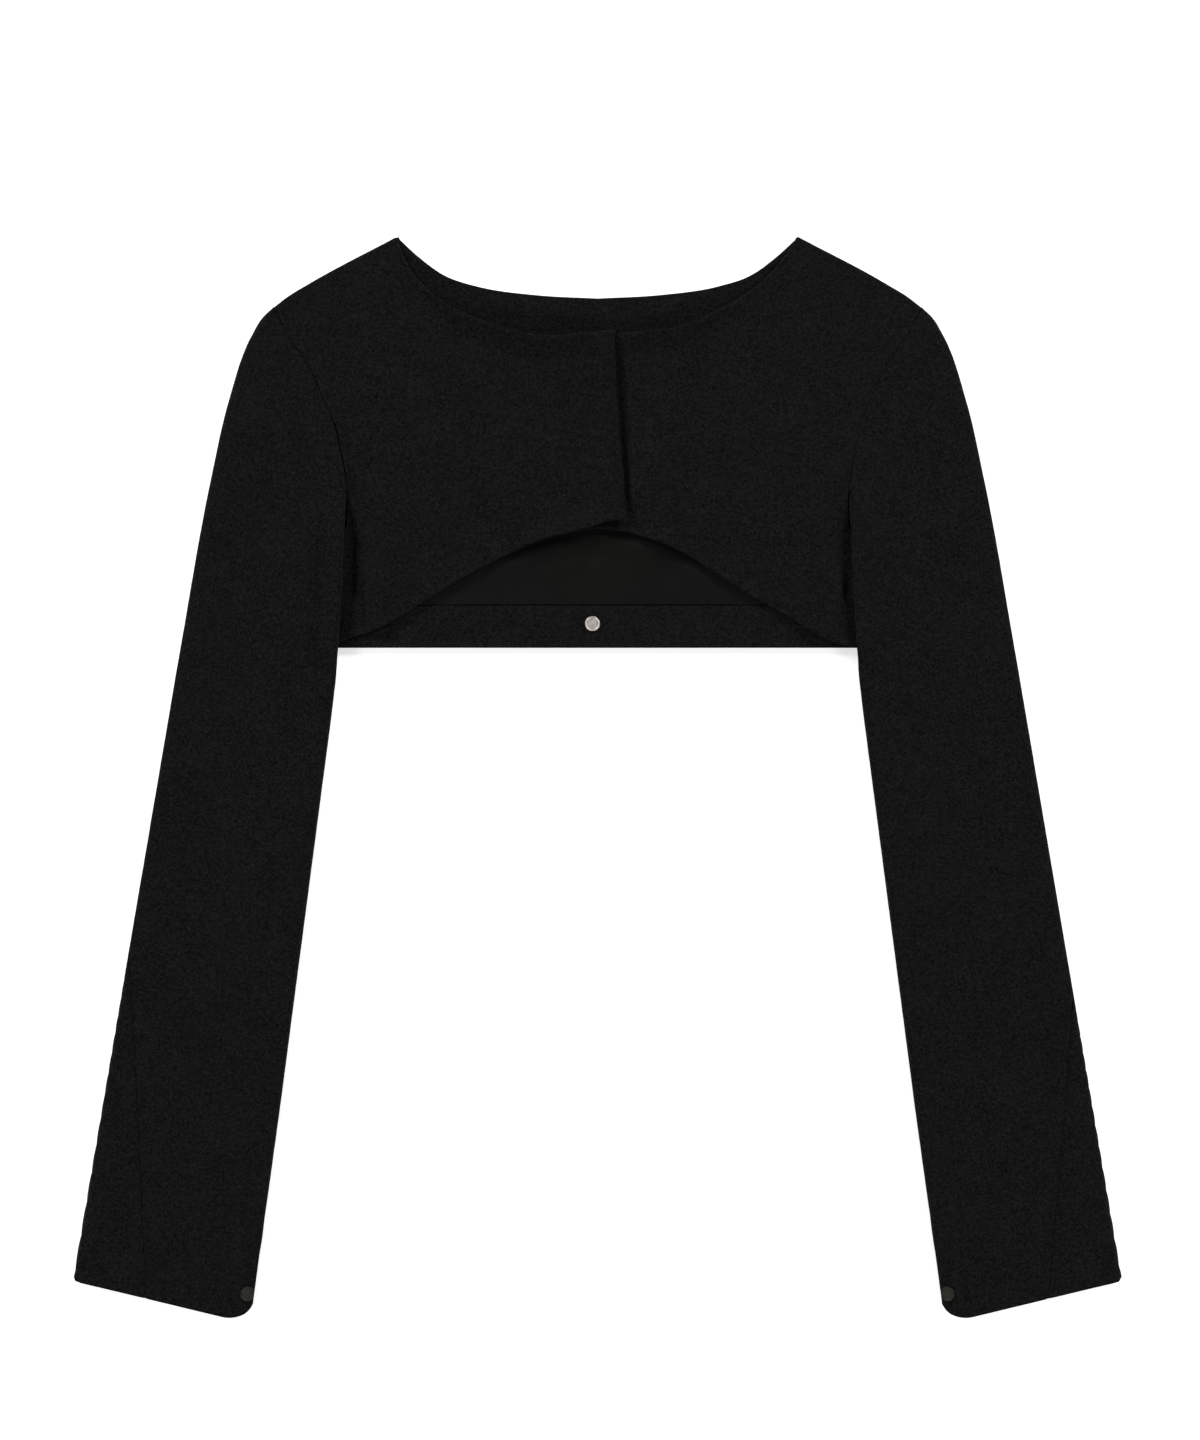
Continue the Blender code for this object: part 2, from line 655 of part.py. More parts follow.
    def wrap(self):
        """Front seam, underside and inner fold, up to the upper cloth."""
        under = np.array([FRONT_SEAM, LIP_FOOT, (LIP_FOOT + LIP_FLAT) / 2, LIP_FLAT])
        outer, inner = self.walled(under, self.lip_middle, False)
        centre = np.array([self.start, (self.tip + self.lift) / 2])
        fold_outer, fold_inner = self.arc(centre, self.inner_radius, WRAP_ANGLES)
        return np.concatenate([outer, fold_outer]), np.concatenate([inner, fold_inner])

    def top(self, seam):
        """Upper cloth from the inner edge to the back seam or outer fold."""
        past_fold = max(seam - self.quarter, 0.0)
        distance = self.start + (self.end - past_fold - self.start) * TOP_SHARES
        return self.walled(distance, self.top_middle, True)

    def outer_fold(self, first, last, cells):
        """The outer fold between two places measured up from its tip."""
        centre = np.array([self.end, self.outer / 2])
        places = np.linspace(first, last, cells + 1)
        return self.arc(centre, self.outer_radius, places / self.outer_radius)

    def floor(self, first):
        """Lower cloth from its inner end to the outer fold."""
        distance = np.linspace(first, self.end, FLOOR_CELLS + 1)
        line = np.stack([distance, np.full_like(distance, WOOL / 2)], axis=-1)
        down = np.array([0.0, -WOOL / 2])
        return line + down, line - down

    def past_fold(self, seam):
        """Lower piece's cloth on the upper side, from the fold to the seam."""
        reach = max(seam - self.quarter, 0.0)
        distance = np.linspace(self.end, self.end - reach, PAST_FOLD_CELLS + 1)
        return self.walled(distance, self.top_middle, True)


def join_parts(row, parts):
    """World points of a row's parts, put end to end."""
    outer = np.concatenate([part[0] for part in parts])
    inner = np.concatenate([part[1] for part in parts])
    return row.place(outer), row.place(inner)


def make_sleeve_top(name, rows, parent):
    """Upper piece: it wraps the inner fold and ends on the front seam."""
    outer = []
    inner = []
    for row in rows:
        seam = row.seam + GAP / 2
        fold = row.outer_fold(row.quarter, min(seam, row.quarter), TOP_FOLD_CELLS)
        fold = (fold[0][1:], fold[1][1:])
        points = join_parts(row, [row.wrap(), row.top(seam), fold])
        outer.append(points[0])
        inner.append(points[1])
    outer = np.array(outer)
    inner = np.array(inner)
    cells = all_cells(outer)
    wrap_cells = len(rows[-1].wrap()[0])
    cells[:UNDERARM_ROW, :wrap_cells] = False
    for i in range(len(rows) - 1):
        if rows[i].seam + GAP / 2 > rows[i].quarter:
            cells[i, -TOP_FOLD_CELLS:] = False
    return make_wall(name, outer, inner, cells, WOOL_LOOK, parent)


def make_sleeve_under(name, rows, parent):
    """Lower piece: it lies on the floor and wraps the outer fold."""
    outer = []
    inner = []
    down = np.array([0.0, -WOOL / 2])
    for row in rows:
        seam = row.seam - GAP / 2
        fold = row.outer_fold(-row.quarter, min(seam, row.quarter), UNDER_FOLD_CELLS)
        first = min(FRONT_SEAM + GAP, row.end)
        # Beside the armhole the cloth reaches from the fold to the armhole's seam.
        inside = np.stack([np.array([0.0, first / 2]), np.full(2, WOOL / 2)], axis=-1)
        past = row.past_fold(seam)
        if seam <= row.quarter:
            past = tuple(np.repeat(line[-1:], PAST_FOLD_CELLS + 1, axis=0) for line in fold)
        points = join_parts(row, [(inside + down, inside - down), row.floor(first),
                                  (fold[0][1:], fold[1][1:]), (past[0][1:], past[1][1:])])
        outer.append(points[0])
        inner.append(points[1])
    outer = np.array(outer)
    inner = np.array(inner)
    cells = all_cells(outer)
    cells[LAST_ARMHOLE_ROW:, :2] = False
    for i in range(len(rows) - 1):
        if rows[i + 1].seam - GAP / 2 <= rows[i + 1].quarter:
            cells[i, -PAST_FOLD_CELLS:] = False
    return make_wall(name, outer, inner, cells, WOOL_LOOK, parent)


def sleeve_stations(side):
    """Stations of the rows, with close ones where the back seam turns over."""
    probe = np.linspace(1.0, 2.0, 101)
    heights = np.array([SleeveRow(station, side).tail[1] for station in probe])
    turns = SEAM_LEAVES_FOLD_Y[side] - np.array(SEAM_TURN_STEPS)
    close = np.interp(-turns, -heights, probe)
    spaced = [station for station in STATIONS
              if np.min(np.abs(close - station)) > LEAST_STATION_STEP]
    return sorted([*spaced, *close])


def make_sleeve(side_name, side, parent):
    rows = [SleeveRow(station, side) for station in sleeve_stations(side)]
    make_sleeve_top(f"{side_name}_sleeve_top", rows, parent)
    make_sleeve_under(f"{side_name}_sleeve_under", rows, parent)


# ---- Snaps -----------------------------------------------------------------

def make_snap(name, look, parent):
    """Snap cap: a dished disc with a raised rim, turned about its own axis."""
    rim_inner = SNAP_RADIUS - SNAP_RIM
    dish = SNAP_HEIGHT - SNAP_DISH
    profile = [
        (0.0, 0.0),
        (SNAP_RADIUS - SNAP_FOOT_ROUND, 0.0),
        (SNAP_RADIUS, SNAP_FOOT_ROUND),
        (SNAP_RADIUS, SNAP_HEIGHT - SNAP_RIM_ROUND),
        (SNAP_RADIUS - 0.3 * SNAP_RIM_ROUND, SNAP_HEIGHT - 0.3 * SNAP_RIM_ROUND),
        (SNAP_RADIUS - SNAP_RIM_ROUND, SNAP_HEIGHT),
        (rim_inner, SNAP_HEIGHT - 0.3 * SNAP_RIM_ROUND),
        (rim_inner - SNAP_FOOT_ROUND, dish),
        (0.0, dish + SNAP_DOME),
    ]
    mesh = bmesh.new()
    points = [mesh.verts.new(Vector((x, 0.0, z)) * MM) for x, z in profile]
    edges = [mesh.edges.new(pair) for pair in zip(points[:-1], points[1:])]
    bmesh.ops.spin(mesh, geom=points + edges, cent=(0, 0, 0), axis=(0, 0, 1),
                   angle=2 * math.pi, steps=SNAP_SEGMENTS)
    bmesh.ops.remove_doubles(mesh, verts=mesh.verts, dist=1e-6)
    bmesh.ops.recalc_face_normals(mesh, faces=mesh.faces)
    return make_object(name, mesh, look, parent)


def make_hem_snap(parent):
    snap = make_snap("hem_snap", LIGHT_NICKEL_LOOK, parent)
    base = FACING_MID + WOOL / 2 + GAP
    snap.location = Vector((*HEM_SNAP_XY, base)) * MM


def cuff_snap_seat(side):
    """Centre and axis of the cuff snap's base, just clear of the cloth."""
    target = np.array([side * CUFF_SNAP_XY[0], CUFF_SNAP_XY[1]])
    cloth = []
    for station in np.linspace(*SNAP_SEAT_STATIONS, 29):
        row = SleeveRow(station, side)
        distance = row.start + np.linspace(0.0, SNAP_SEAT_REACH, 25)
        outer = row.walled(distance, row.top_middle, True)[0]
        cloth.append(row.place(outer))
    cloth = np.concatenate(cloth)
    cloth = cloth[np.linalg.norm(cloth[:, :2] - target, axis=1) < SNAP_RADIUS]
    fit = np.linalg.lstsq(np.column_stack([cloth[:, :2] - target, np.ones(len(cloth))]),
                          cloth[:, 2], rcond=None)[0]
    axis = unit((-fit[0], -fit[1], 1.0))
    base = np.array([*target, fit[2]])
    base += axis * (np.max((cloth - base) @ axis) + GAP)
    return Vector(base), Vector(axis)


def make_cuff_snap(side_name, side, parent):
    snap = make_snap(f"{side_name}_cuff_snap", DARK_NICKEL_LOOK, parent)
    centre, axis = cuff_snap_seat(side)
    turn = Vector((0, 0, 1)).rotation_difference(axis).to_matrix().to_4x4()
    snap.matrix_local = Matrix.Translation(centre * MM) @ turn


# ---- The whole garment -----------------------------------------------------

def main():
    clear_scene()
    shrug = bpy.data.objects.new("shrug", None)
    bpy.context.scene.collection.objects.link(shrug)
    make_back(shrug)
    make_lining(shrug)
    make_hem_facing(shrug)
    make_neck_facing(shrug)
    make_front("left_front", LEFT, LEFT_NECK, LEFT_HEM, LEFT_EDGE, False, shrug)
    make_front("right_front", RIGHT, RIGHT_NECK, RIGHT_HEM, RIGHT_EDGE, True, shrug)
    for side_name, side in (("left", LEFT), ("right", RIGHT)):
        make_sleeve(side_name, side, shrug)
        make_cuff_snap(side_name, side, shrug)
    make_hem_snap(shrug)


main()
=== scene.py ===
"""Looks of the black felted wool shrug, laid flat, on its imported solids.

Each cloth piece is a fine closed shell on the form of its solid: the same
outlines and sections, with turned edges, seam grooves, creases and the small
unevenness of felt. The snaps are turned metal discs with a cut grid.

Lengths are millimetres and become metres where a mesh is made. +X is the
wearer's left, +Y runs from cuffs to neck and +Z up. Outlines are given for
the +X half, and a side of -1 mirrors them. Creases are given in real X.
"""

import math

import bpy
import numpy as np
from mathutils import Matrix, Vector


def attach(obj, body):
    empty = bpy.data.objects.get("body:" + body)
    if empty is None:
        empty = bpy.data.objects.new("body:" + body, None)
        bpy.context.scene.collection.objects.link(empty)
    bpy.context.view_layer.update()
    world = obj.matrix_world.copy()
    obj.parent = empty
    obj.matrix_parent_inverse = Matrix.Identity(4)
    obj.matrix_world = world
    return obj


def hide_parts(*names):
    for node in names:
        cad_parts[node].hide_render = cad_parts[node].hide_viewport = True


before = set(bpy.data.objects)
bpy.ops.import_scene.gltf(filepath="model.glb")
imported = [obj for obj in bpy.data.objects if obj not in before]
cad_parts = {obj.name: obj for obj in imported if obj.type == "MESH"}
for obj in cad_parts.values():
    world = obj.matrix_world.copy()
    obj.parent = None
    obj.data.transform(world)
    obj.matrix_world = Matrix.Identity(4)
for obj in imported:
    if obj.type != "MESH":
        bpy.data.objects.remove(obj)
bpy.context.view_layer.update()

MM = 0.001
LEFT = 1
RIGHT = -1

# ---- Cloth, layers and edges ------------------------------------------------

WOOL = 1.8
LINING = 1.0
GAP = 0.3

BACK_MID = WOOL / 2
LINING_MID = WOOL + GAP + LINING / 2
FACING_MID = WOOL + GAP + WOOL / 2
FRONT_MID = 2 * (WOOL + GAP) + WOOL / 2
FRONT_TOP = FRONT_MID + WOOL / 2
OVERLAP_RISE = WOOL + GAP

# How far a rounded edge bulges out of the grid that it ends.
FREE_RIM = 0.9
NECK_RIM = 0.5
SEAM_RIM = 0.45
SEAM_GAP = 0.12

# Shift of the lower armhole seam, and the shares of the armhole in which it
# sets in at the shoulder and fades at the underarm.
LOWER_SHIFT = 1.5
SHIFT_STARTS = 0.035
SHIFT_ENDS = 0.06
FOLD_REACH = 0.5

# Square of the distance over which a limited height turns.
SOFT_TURN = 0.16

RIM_STEPS = 4
GRID_STEP = 1.9
BACK_STEP = 2.4
HEM_FACING_STEP = 1.5
LINING_STEP = 2.2
LINING_TOP_POINTS = 90
EDGE_STEPS = (0.0, 0.35, 0.8, 1.35, 2.1, 3.1, 4.5)

# Both layers sink beside the lower part of an armhole.
SINK_DEPTH = {LEFT: 0.0, RIGHT: 1.2}
SINK_WIDTH = 5.5
SINK_TOP_Y = 232.0
SINK_TOP_EASE = 36.0
SINK_FOOT_Y = 168.0
SINK_FOOT_EASE = 10.0

SEAM_DEPTH = 0.6
SEAM_WIDTH = 1.4
STITCH_PITCH = 3.2
STITCH_DEPTH = 0.12
ARMHOLE_SEAM_EASE = 12.0
HEM_FACING_GROOVE = 0.1

# ---- Outline of the body ----------------------------------------------------

NECK_POINT = (124.6, 334.9)
SHOULDER_TIP = (201, 291)
UNDERARM = (155.4, 180)
HEM_Y = 79.4
HEM_AT_FOLD = (160.3, HEM_Y)
FACING_TOP_Y = 106.0

SHOULDER = [NECK_POINT, (180.4, 305), (192.6, 297.5), SHOULDER_TIP]
ARMHOLE = [SHOULDER_TIP, (190.8, 271.5), (180.4, 256.8), (170.6, 236.4),
           (163, 216.5), (158.8, 198.4), UNDERARM]
BACK_NECK = [NECK_POINT, (111, 322.4), (94.2, 310.6), (75.6, 304.4),
             (38.4, 298.8), (0, 296.7)]
RIGHT_NECK = [NECK_POINT, (115.9, 314.3), (104.2, 301.4), (88.7, 290),
              (65.3, 280.4), (47.2, 274.9), (24.2, 272.9), (8.7, 274.7),
              (-10.4, 276.6)]
RIGHT_HEM = [(156.7, 86.2), (142, 91.2), (128.2, 97.6), (115.1, 105.6),
             (102.7, 113.5), (89.3, 121.6), (75.8, 129.2), (62.1, 136.3),
             (48.1, 142.9), (33.7, 148.5), (18.7, 152.4), (3.6, 156.2),
             (-4.5, 159.2), (-11.7, 160.2), (-18.8, 160.2)]
RIGHT_EDGE = [(-10.4, 276.6), (-13.2, 216.4), (-16.4, 181.7), (-18.8, 160.2)]
LEFT_NECK = [NECK_POINT, (118.4, 326.1), (105.7, 310.6), (87.4, 296.2),
             (67, 285.6), (53.9, 279.8), (28.2, 275.8), (-18, 274.6)]
LEFT_HEM = [(157, 82.4), (148, 84.4), (134.6, 91), (121.8, 99),
            (108.8, 106.4), (88.9, 118), (69.6, 130.4), (57, 138.4),
            (43.2, 145), (28.5, 150.4), (13.7, 154), (-18, 155.8)]
LEFT_EDGE = [(-18, 274.6), (-18, 155.8)]

# The sides tuck under the sleeves, from one Y down to another.
SIDE_TUCK = 7.6
TUCK_Y = {"front": (157.0, 136.0), "back": (176.0, 162.0)}
SIDE_EASE = 8.0
ARMHOLE_START = 0.4
SHOULDER_CLEARANCE = 1.0

FACING_LOWER = [(157, 310.4), (120, 283), (66, 262), (0, 254.7)]
LINING_SIDE = [(184, 293), (176, 266), (160, 233), (149, 200),
               (146, 165), (146.5, 140), (148, FACING_TOP_Y + GAP)]

HEM_FACING_INSET = 0.2
NECK_FACING_START = 4.5
NECK_FACING_SIDE = 42.0
LINING_SETTLES = 12.0

# The right front climbs on to the left one between two places.
CLIMB_FROM_X = -58.0
CLIMB_TO_X = -30.0

# A front stays on the lining, or on the back beside it.
LINING_SIDE_X = 148.6
LINING_SIDE_EASE = 3.0
FACING_CLEARANCE = 2.0
FACING_EASE = 6.0

# A front stays under the sleeve's lip, free further in and above it.
LIP_INSET = 1.0
LIP_FREE_SLOPE = 1.2
LIP_FREE_RISE = 20.0
LIP_TOP_Y = 158.0
LIP_TOP_EASE = 10.0

SHOULDER_RADIUS = (FRONT_MID - BACK_MID) / 2
SHOULDER_INSET = SHOULDER_RADIUS + WOOL / 2
SHOULDER_FADE = 8.0
CURL_ANGLES = np.radians([86.0, 72.0, 58.0, 44.0, 30.0, 16.0])

# ---- Outline and sections of the sleeves ------------------------------------

SLEEVE_OUTER = [SHOULDER_TIP, (207.3, 285), (214.7, 272.9), (228.6, 233.2),
                (239.9, 183.6), (260, 72), (325.5, -312.6)]
FOLD_EDGE = [UNDERARM, (156.6, 150), (158.4, 110), HEM_AT_FOLD, (162.2, 58),
             (196.7, -205), (215.3, -339.2)]
BODY_FOLD = FOLD_EDGE[:4]
CUFF_INNER_RADIUS = 5.0
CUFF_OUTER_RADIUS = 2.5
CUFF_INNER_RISE = 8.5
CUFF_INNER_REACH = 18.0
CUFF_CORNER_REACH = 60.0

# The lip is the raised inner fold below the underarm.
LIP_UNDERSIDE = 6.8
LIP_EXTRA = {LEFT: 0.0, RIGHT: 2.2}
LIP_FROM_STATION = 1.03
LIP_TO_STATION = 1.225
LIP_EASE = 0.03
SEAM_LEAVES_FOLD_Y = {LEFT: -129.0, RIGHT: -104.0}
SEAM_SLOPE = 0.237
SEAM_BEND = {LEFT: 1.5e-4, RIGHT: -0.5e-4}
FRONT_SEAM = 20.0
LIP_FLAT = 8.5
LIP_FOOT = 16.0
OUTER_BLEND = 24.0
FOLD_FADE = 12.0
SEAM_FADE = 6.0
HEAD_EASE = 30.0
SHORTEST_TOP = 0.4
OPEN_WRAP_STEPS = 8
UNDER_START_SHARE = 0.8

# Heights across a sleeve. Stations run from 0 at the shoulder tip over 1 at the
# underarm to 2 at the cuff.
SECTION_COLUMNS = ("station", "lift", "tip", "blend", "middle", "outer")
SECTIONS = [
    (0, 0, FRONT_TOP, 20, 6, 6),
    (0.300, 0, FRONT_TOP, 24, 6.2, 6.9),
    (0.800, 0, FRONT_TOP, 26, 6.3, 7.3),
    (1, 0, FRONT_TOP, 20, 6.2, 7.3),
    (1.025, 3.4, 8.8, 15, 6.3, 7.3),
    (1.048, LIP_UNDERSIDE, 11.2, 14, 6.4, 7.3),
    (1.205, LIP_UNDERSIDE, 11.2, 14, 6.4, 7.3),
    (1.235, 3, 9, 15, 6.3, 7.3),
    (1.270, 0, 7.3, 20, 6.2, 7.3),
    (1.850, 0, 7, 20, 6, 7),
    (1.920, 0, 4.2, 9, 6.2, 7),
    (2, 0, 3.9, 8.5, 6.3, 6.8),
]
STATION_BLUR = 0.012
BLUR_POINTS = 5
ROW_STEP = 2.6
UNDER_STEP = 2.6
WRAP_STEP = 1.8
WRAP_LENGTH = 30.0

# Points in the lines of a section, before they are spaced evenly.
ARC_POINTS = 13
WRAP_POINTS = 25
TOP_POINTS = 80
FLOOR_POINTS = 40
LINE_POINTS = 160
INSIDE_POINTS = 9

# ---- Creases ----------------------------------------------------------------

# Soft ridges (height above 0) and troughs (below 0) in the upper cloth. Each
# runs from one place to another, bowed sideways at its middle, and thins out
# towards both ends.
CREASE_COLUMNS = ("from_x", "from_y", "to_x", "to_y", "bow", "half_width", "height")
CREASE_ENDS = 0.55
FRONT_CREASES = {
    RIGHT: [
        (-178, 258, -120, 222, 3, 26, 1.1),
        (-150, 246, -98, 226, -4, 15, -0.6),
        (-112, 308, -88, 288, 2, 13, 2.8),
        (-86, 287, -42, 273, 3, 17, 5),
        (-42, 273, 4, 274, -1, 16, 4.4),
        (-150, 204, -143.5, 150, -2, 10, 1.3),
        (-141, 152, -138.5, 106, -1, 11, 1.9),
        (-138, 118, -137, 82, 1, 12, 3.2),
        (-128, 170, -124, 98, 2, 24, 1.4),
        (-162, 238, -153, 176, -2, 8, -1.4),
        (-156, 202, -151, 146, -1, 8, -1.9),
        (-150, 138, -150.5, 84, 0, 12, -5),
        (-136, 180, -80, 214, 6, 20, 0.5),
        (-48, 141, -33, 149, 0, 11, 3),
        (-24, 151, 14, 156, 2, 13, 3.4),
        (8, 264, 15, 180, 0.5, 12, 0.6),
        (-156, 85, -146, 90, 0, 8, 1.4),
        (-52, 220, -30, 176, 5, 22, -0.5),
    ],
    LEFT: [
        (76, 214, 132, 170, 6, 22, -0.7),
        (100, 228, 146, 190, 4, 15, 0.6),
        (112, 316, 90, 298, 2, 12, 2),
        (88, 296, 50, 279, -3, 16, 4.2),
        (48, 278, 16, 275, 0, 14, 3.6),
        (40, 146, 54, 138, 0, 11, 3.4),
        (146.5, 122, 144, 86, 1, 11, 2.4),
        (155, 124, 153.5, 84, 0, 8, -2.2),
        (11.2, 264, 18.6, 165, -0.5, 2.4, -1.5),
        (24, 196, 30, 160, -3, 12, 0.7),
        (120, 150, 138, 104, 4, 16, -0.6),
        (132, 92, 152, 83, 0, 9, 2),
        (60, 180, 96, 140, 4, 18, 0.5),
    ],
}
HEM_CURL = 1.2
HEM_CURL_AT_SIDE = 0.4
HEM_CURL_REACH = 70.0
NECK_CURL = 0.8
NECK_CURL_EASE = 12.0
PLACKET_CURL = 1.2
PLACKET_CURL_STARTS = 4.0
PLACKET_CURL_EASE = 10.0
CURL_WIDTH = 4.5
SLEEVE_CREASES = {
    RIGHT: [
        (-226, 96, -224, -160, 3, 22, -0.9),
        (-202, 50, -216, -130, -3, 17, 0.8),
        (-262, -12, -276, -104, 4, 20, 0.7),
        (-240, -170, -262, -272, 5, 20, -0.7),
        (-180, 240, -214, 196, 6, 16, 0.6),
        (-170, 206, -196, 150, 5, 12, -0.5),
        (-184, 24, -228, 4, -4, 11, -0.45),
        (-190, -4, -246, -30, 5, 10, -0.4),
        (-204, -66, -258, -52, -4, 12, 0.4),
        (-222.8, -328, -220.6, -309, 0, 4.8, 3.4),
    ],
    LEFT: [
        (219, 130, 226, -246, -3, 20, -0.9),
        (200, -40, 214, -170, 3, 15, 0.8),
        (250, -182, 262, -232, -3, 18, 0.7),
        (268, -54, 280, -126, 3, 20, 0.6),
        (186, 242, 216, 200, -5, 16, 0.6),
        (172, 210, 200, 156, -5, 12, -0.5),
        (196, 12, 242, 30, 4, 11, -0.45),
        (236, -186, 292, -206, 3, 10, -0.45),
        (214, -96, 262, -84, 4, 12, 0.35),
        (223.8, -328, 221.4, -309, 0, 4.8, 3.4),
    ],
}
LINING_CREASES = [
    (-62, 126.5, 0, 145, 3.3, 8, 1.5),
    (4, 144, 66, 122.5, 4.4, 8, 1.5),
    (-96, 120, -30, 146, 6, 12, 0.35),
    (-60, 112, 10, 122, 4, 9, -0.3),
    (6, 148, 60, 116, -5, 11, 0.35),
    (30, 110, 92, 114, 3, 8, 0.3),
    (-20, 138, 26, 132, 3, 9, -0.25),
]
FELT_UNEVEN = ((34.0, 0.20), (13.0, 0.09), (4.2, 0.05))
LINING_UNEVEN = ((28.0, 0.14), (9.0, 0.05))
NOISE_CELLS = 512

# ---- Snaps ------------------------------------------------------------------

HEM_SNAP_XY = (-3.1, 94.7)
CUFF_SNAP_LEAN = math.radians(9.0)
CUFF_SNAP_SUNK = 0.15
SNAP_RADIUS = 4.6
SNAP_HEIGHT = 1.5
SNAP_RIM = 0.95
SNAP_DISH = 0.42
KNURL_PITCH = 0.62
KNURL_HEIGHT = 0.09
KNURL_FADE = 0.4
SNAP_SEGMENTS = 96
SNAP_RIM_POINTS = 11
SNAP_DISH_RINGS = 30
SNAP_ANGLES = 2 * math.pi * np.arange(SNAP_SEGMENTS) / SNAP_SEGMENTS
# The foot's corner and the step into the dish, as (out, up) from their own
# starts: the cap's edge on the ground and the inner end of the rim.
SNAP_FOOT = [(-0.35, 0.0), (-0.1, 0.1), (0.0, 0.35)]
SNAP_STEP = [(0.05, 0.12), (-0.12, 0.0)]

# ---- View and light ---------------------------------------------------------

FRAME_HEIGHT = 1440
MM_PER_PIXEL = 0.62
VIEW_CENTRE = (1.55, 35.0)
FOCUS_HEIGHT = 4.0
LENS = 100.0
SENSOR = 36.0
FLOOR_HALF = 4000.0
FLOOR_HEIGHT = -0.3
FLOOR_GLOW = 0.55
FLOOR_TONES = ((0.86, 0.86, 0.86), (0.9, 0.9, 0.9))
WORLD_LIGHT = 0.10
LIGHT_HEIGHT = 1.25
LIGHT_SIZE = (1.0, 0.5)
LIGHTS = [
    ("upper_left_box", -2.0, 1.67, 65.5),
    ("upper_right_box", 2.0, 1.67, 65.5),
    ("lower_left_box", -2.0, -1.67, 36.0),
    ("lower_right_box", 2.0, -1.67, 36.0),
]


# ---- Small tools ------------------------------------------------------------

def ease(value):
    """Smooth step from 0 to 1."""
    value = np.clip(value, 0.0, 1.0)
    return value * value * (3.0 - 2.0 * value)


def unit(vector):
    vector = np.asarray(vector, float)
    return vector / np.maximum(np.linalg.norm(vector, axis=-1, keepdims=True), 1e-9)


def mirrored(points, side):
    return np.asarray(points, float) * (side, 1.0)


def spline(points, steps=24):
    """Dense smooth curve through a list of points."""
    points = np.asarray(points, float)
    if len(points) == 2:
        return points[0] + np.linspace(0.0, 1.0, steps + 1)[:, None] * (points[1] - points[0])
    knots = np.concatenate([[0.0], np.cumsum(np.linalg.norm(np.diff(points, axis=0), axis=1))])
    slopes = np.gradient(points, knots, axis=0)
    curve = [points[:1]]
    for k in range(len(points) - 1):
        span = knots[k + 1] - knots[k]
        t = np.linspace(0.0, 1.0, steps + 1)[1:, None]
        curve.append((2 * t**3 - 3 * t**2 + 1) * points[k]
                     + (t**3 - 2 * t**2 + t) * span * slopes[k]
                     + (3 * t**2 - 2 * t**3) * points[k + 1]
                     + (t**3 - t**2) * span * slopes[k + 1])
    return np.concatenate(curve)


def arc_lengths(curve):
    steps = np.linalg.norm(np.diff(curve, axis=0), axis=1)
    return np.concatenate([[0.0], np.cumsum(steps)])


def along(curve, distances):
    """Points at the given distances along a curve."""
    arcs = arc_lengths(curve)
    return np.stack([np.interp(distances, arcs, curve[:, k]) for k in range(curve.shape[1])],
                    axis=-1)


def shares(curve):
    """How far along a curve each of its points lies, from 0 to 1."""
    arcs = arc_lengths(curve)
    return arcs / arcs[-1]


def at_fractions(curve, fractions):
    return along(curve, np.asarray(fractions) * arc_lengths(curve)[-1])


def offset(curve, distance):
    """A curve moved sideways, to the left of its direction of travel."""
    tangent = unit(np.gradient(curve, axis=0))
    return curve + distance * np.stack([-tangent[:, 1], tangent[:, 0]], axis=-1)


def graded(length, step, close_start=True, close_end=True):
    """Distances along an edge, close together at its ends and even between."""
    edge = np.array(EDGE_STEPS)
    start = edge if close_start else edge[:1]
    end = edge if close_end else edge[:1]
    middle = length - start[-1] - end[-1]
    cells = max(2, round(middle / step))
    even = start[-1] + middle * np.linspace(0.0, 1.0, cells + 1)
    return np.concatenate([start[:-1], even, length - end[:-1][::-1]])


def graded_shares(length, step, close_start=True, close_end=True):
    return graded(length, step, close_start, close_end) / length


def coons(top, bottom, left, right, across, down):
    """Grid of plan points between four edges, rows running from top to bottom."""
    u = np.asarray(across)[None, :, None]
    v = np.asarray(down)[:, None, None]
    sides = (1 - u) * left[:, None] + u * right[:, None]
    ends = (1 - v) * top[None] + v * bottom[None]
    corners = ((1 - u) * (1 - v) * top[0] + u * (1 - v) * top[-1]
               + (1 - u) * v * bottom[0] + u * v * bottom[-1])
    return sides + ends - corners


def both_halves(half):
    """A whole edge from its right end to its left, from the half of one side."""
    return np.concatenate([mirrored(half, RIGHT), half[:-1][::-1]])


def symmetric_plan(half, left, down, lower=None):
    """Grid of plan points of a panel that is the same on both sides.

    The lower edge is straight unless it is given as a whole edge.
    """
    top = both_halves(half)
    across = shares(top)
    right = mirrored(left, RIGHT)
    if lower is None:
        lower = np.array([right[-1], left[-1]])
    return coons(top, at_fractions(lower, across), right, left, across, down)


def from_edge(grid, start):
    """Distance of each point from one end of its row (start 0) or the other (-1)."""
    steps = np.linalg.norm(np.diff(grid, axis=1), axis=2)
    arcs = np.concatenate([np.zeros((len(grid), 1)), np.cumsum(steps, axis=1)], axis=1)
    return arcs if start == 0 else arcs[:, -1:] - arcs


def noise(x, y, size, seed):
    """Smooth random height from -1 to 1, with hills about two sizes apart."""
    table = np.random.default_rng(seed).uniform(-1.0, 1.0, (NOISE_CELLS, NOISE_CELLS))
    column = np.floor(x / size).astype(int)
    row = np.floor(y / size).astype(int)
    s = ease(x / size - column)
    t = ease(y / size - row)

    def corner(i, j):
        return table[(column + i) % NOISE_CELLS, (row + j) % NOISE_CELLS]

    low = corner(0, 0) * (1 - s) + corner(1, 0) * s
    high = corner(0, 1) * (1 - s) + corner(1, 1) * s
    return low * (1 - t) + high * t


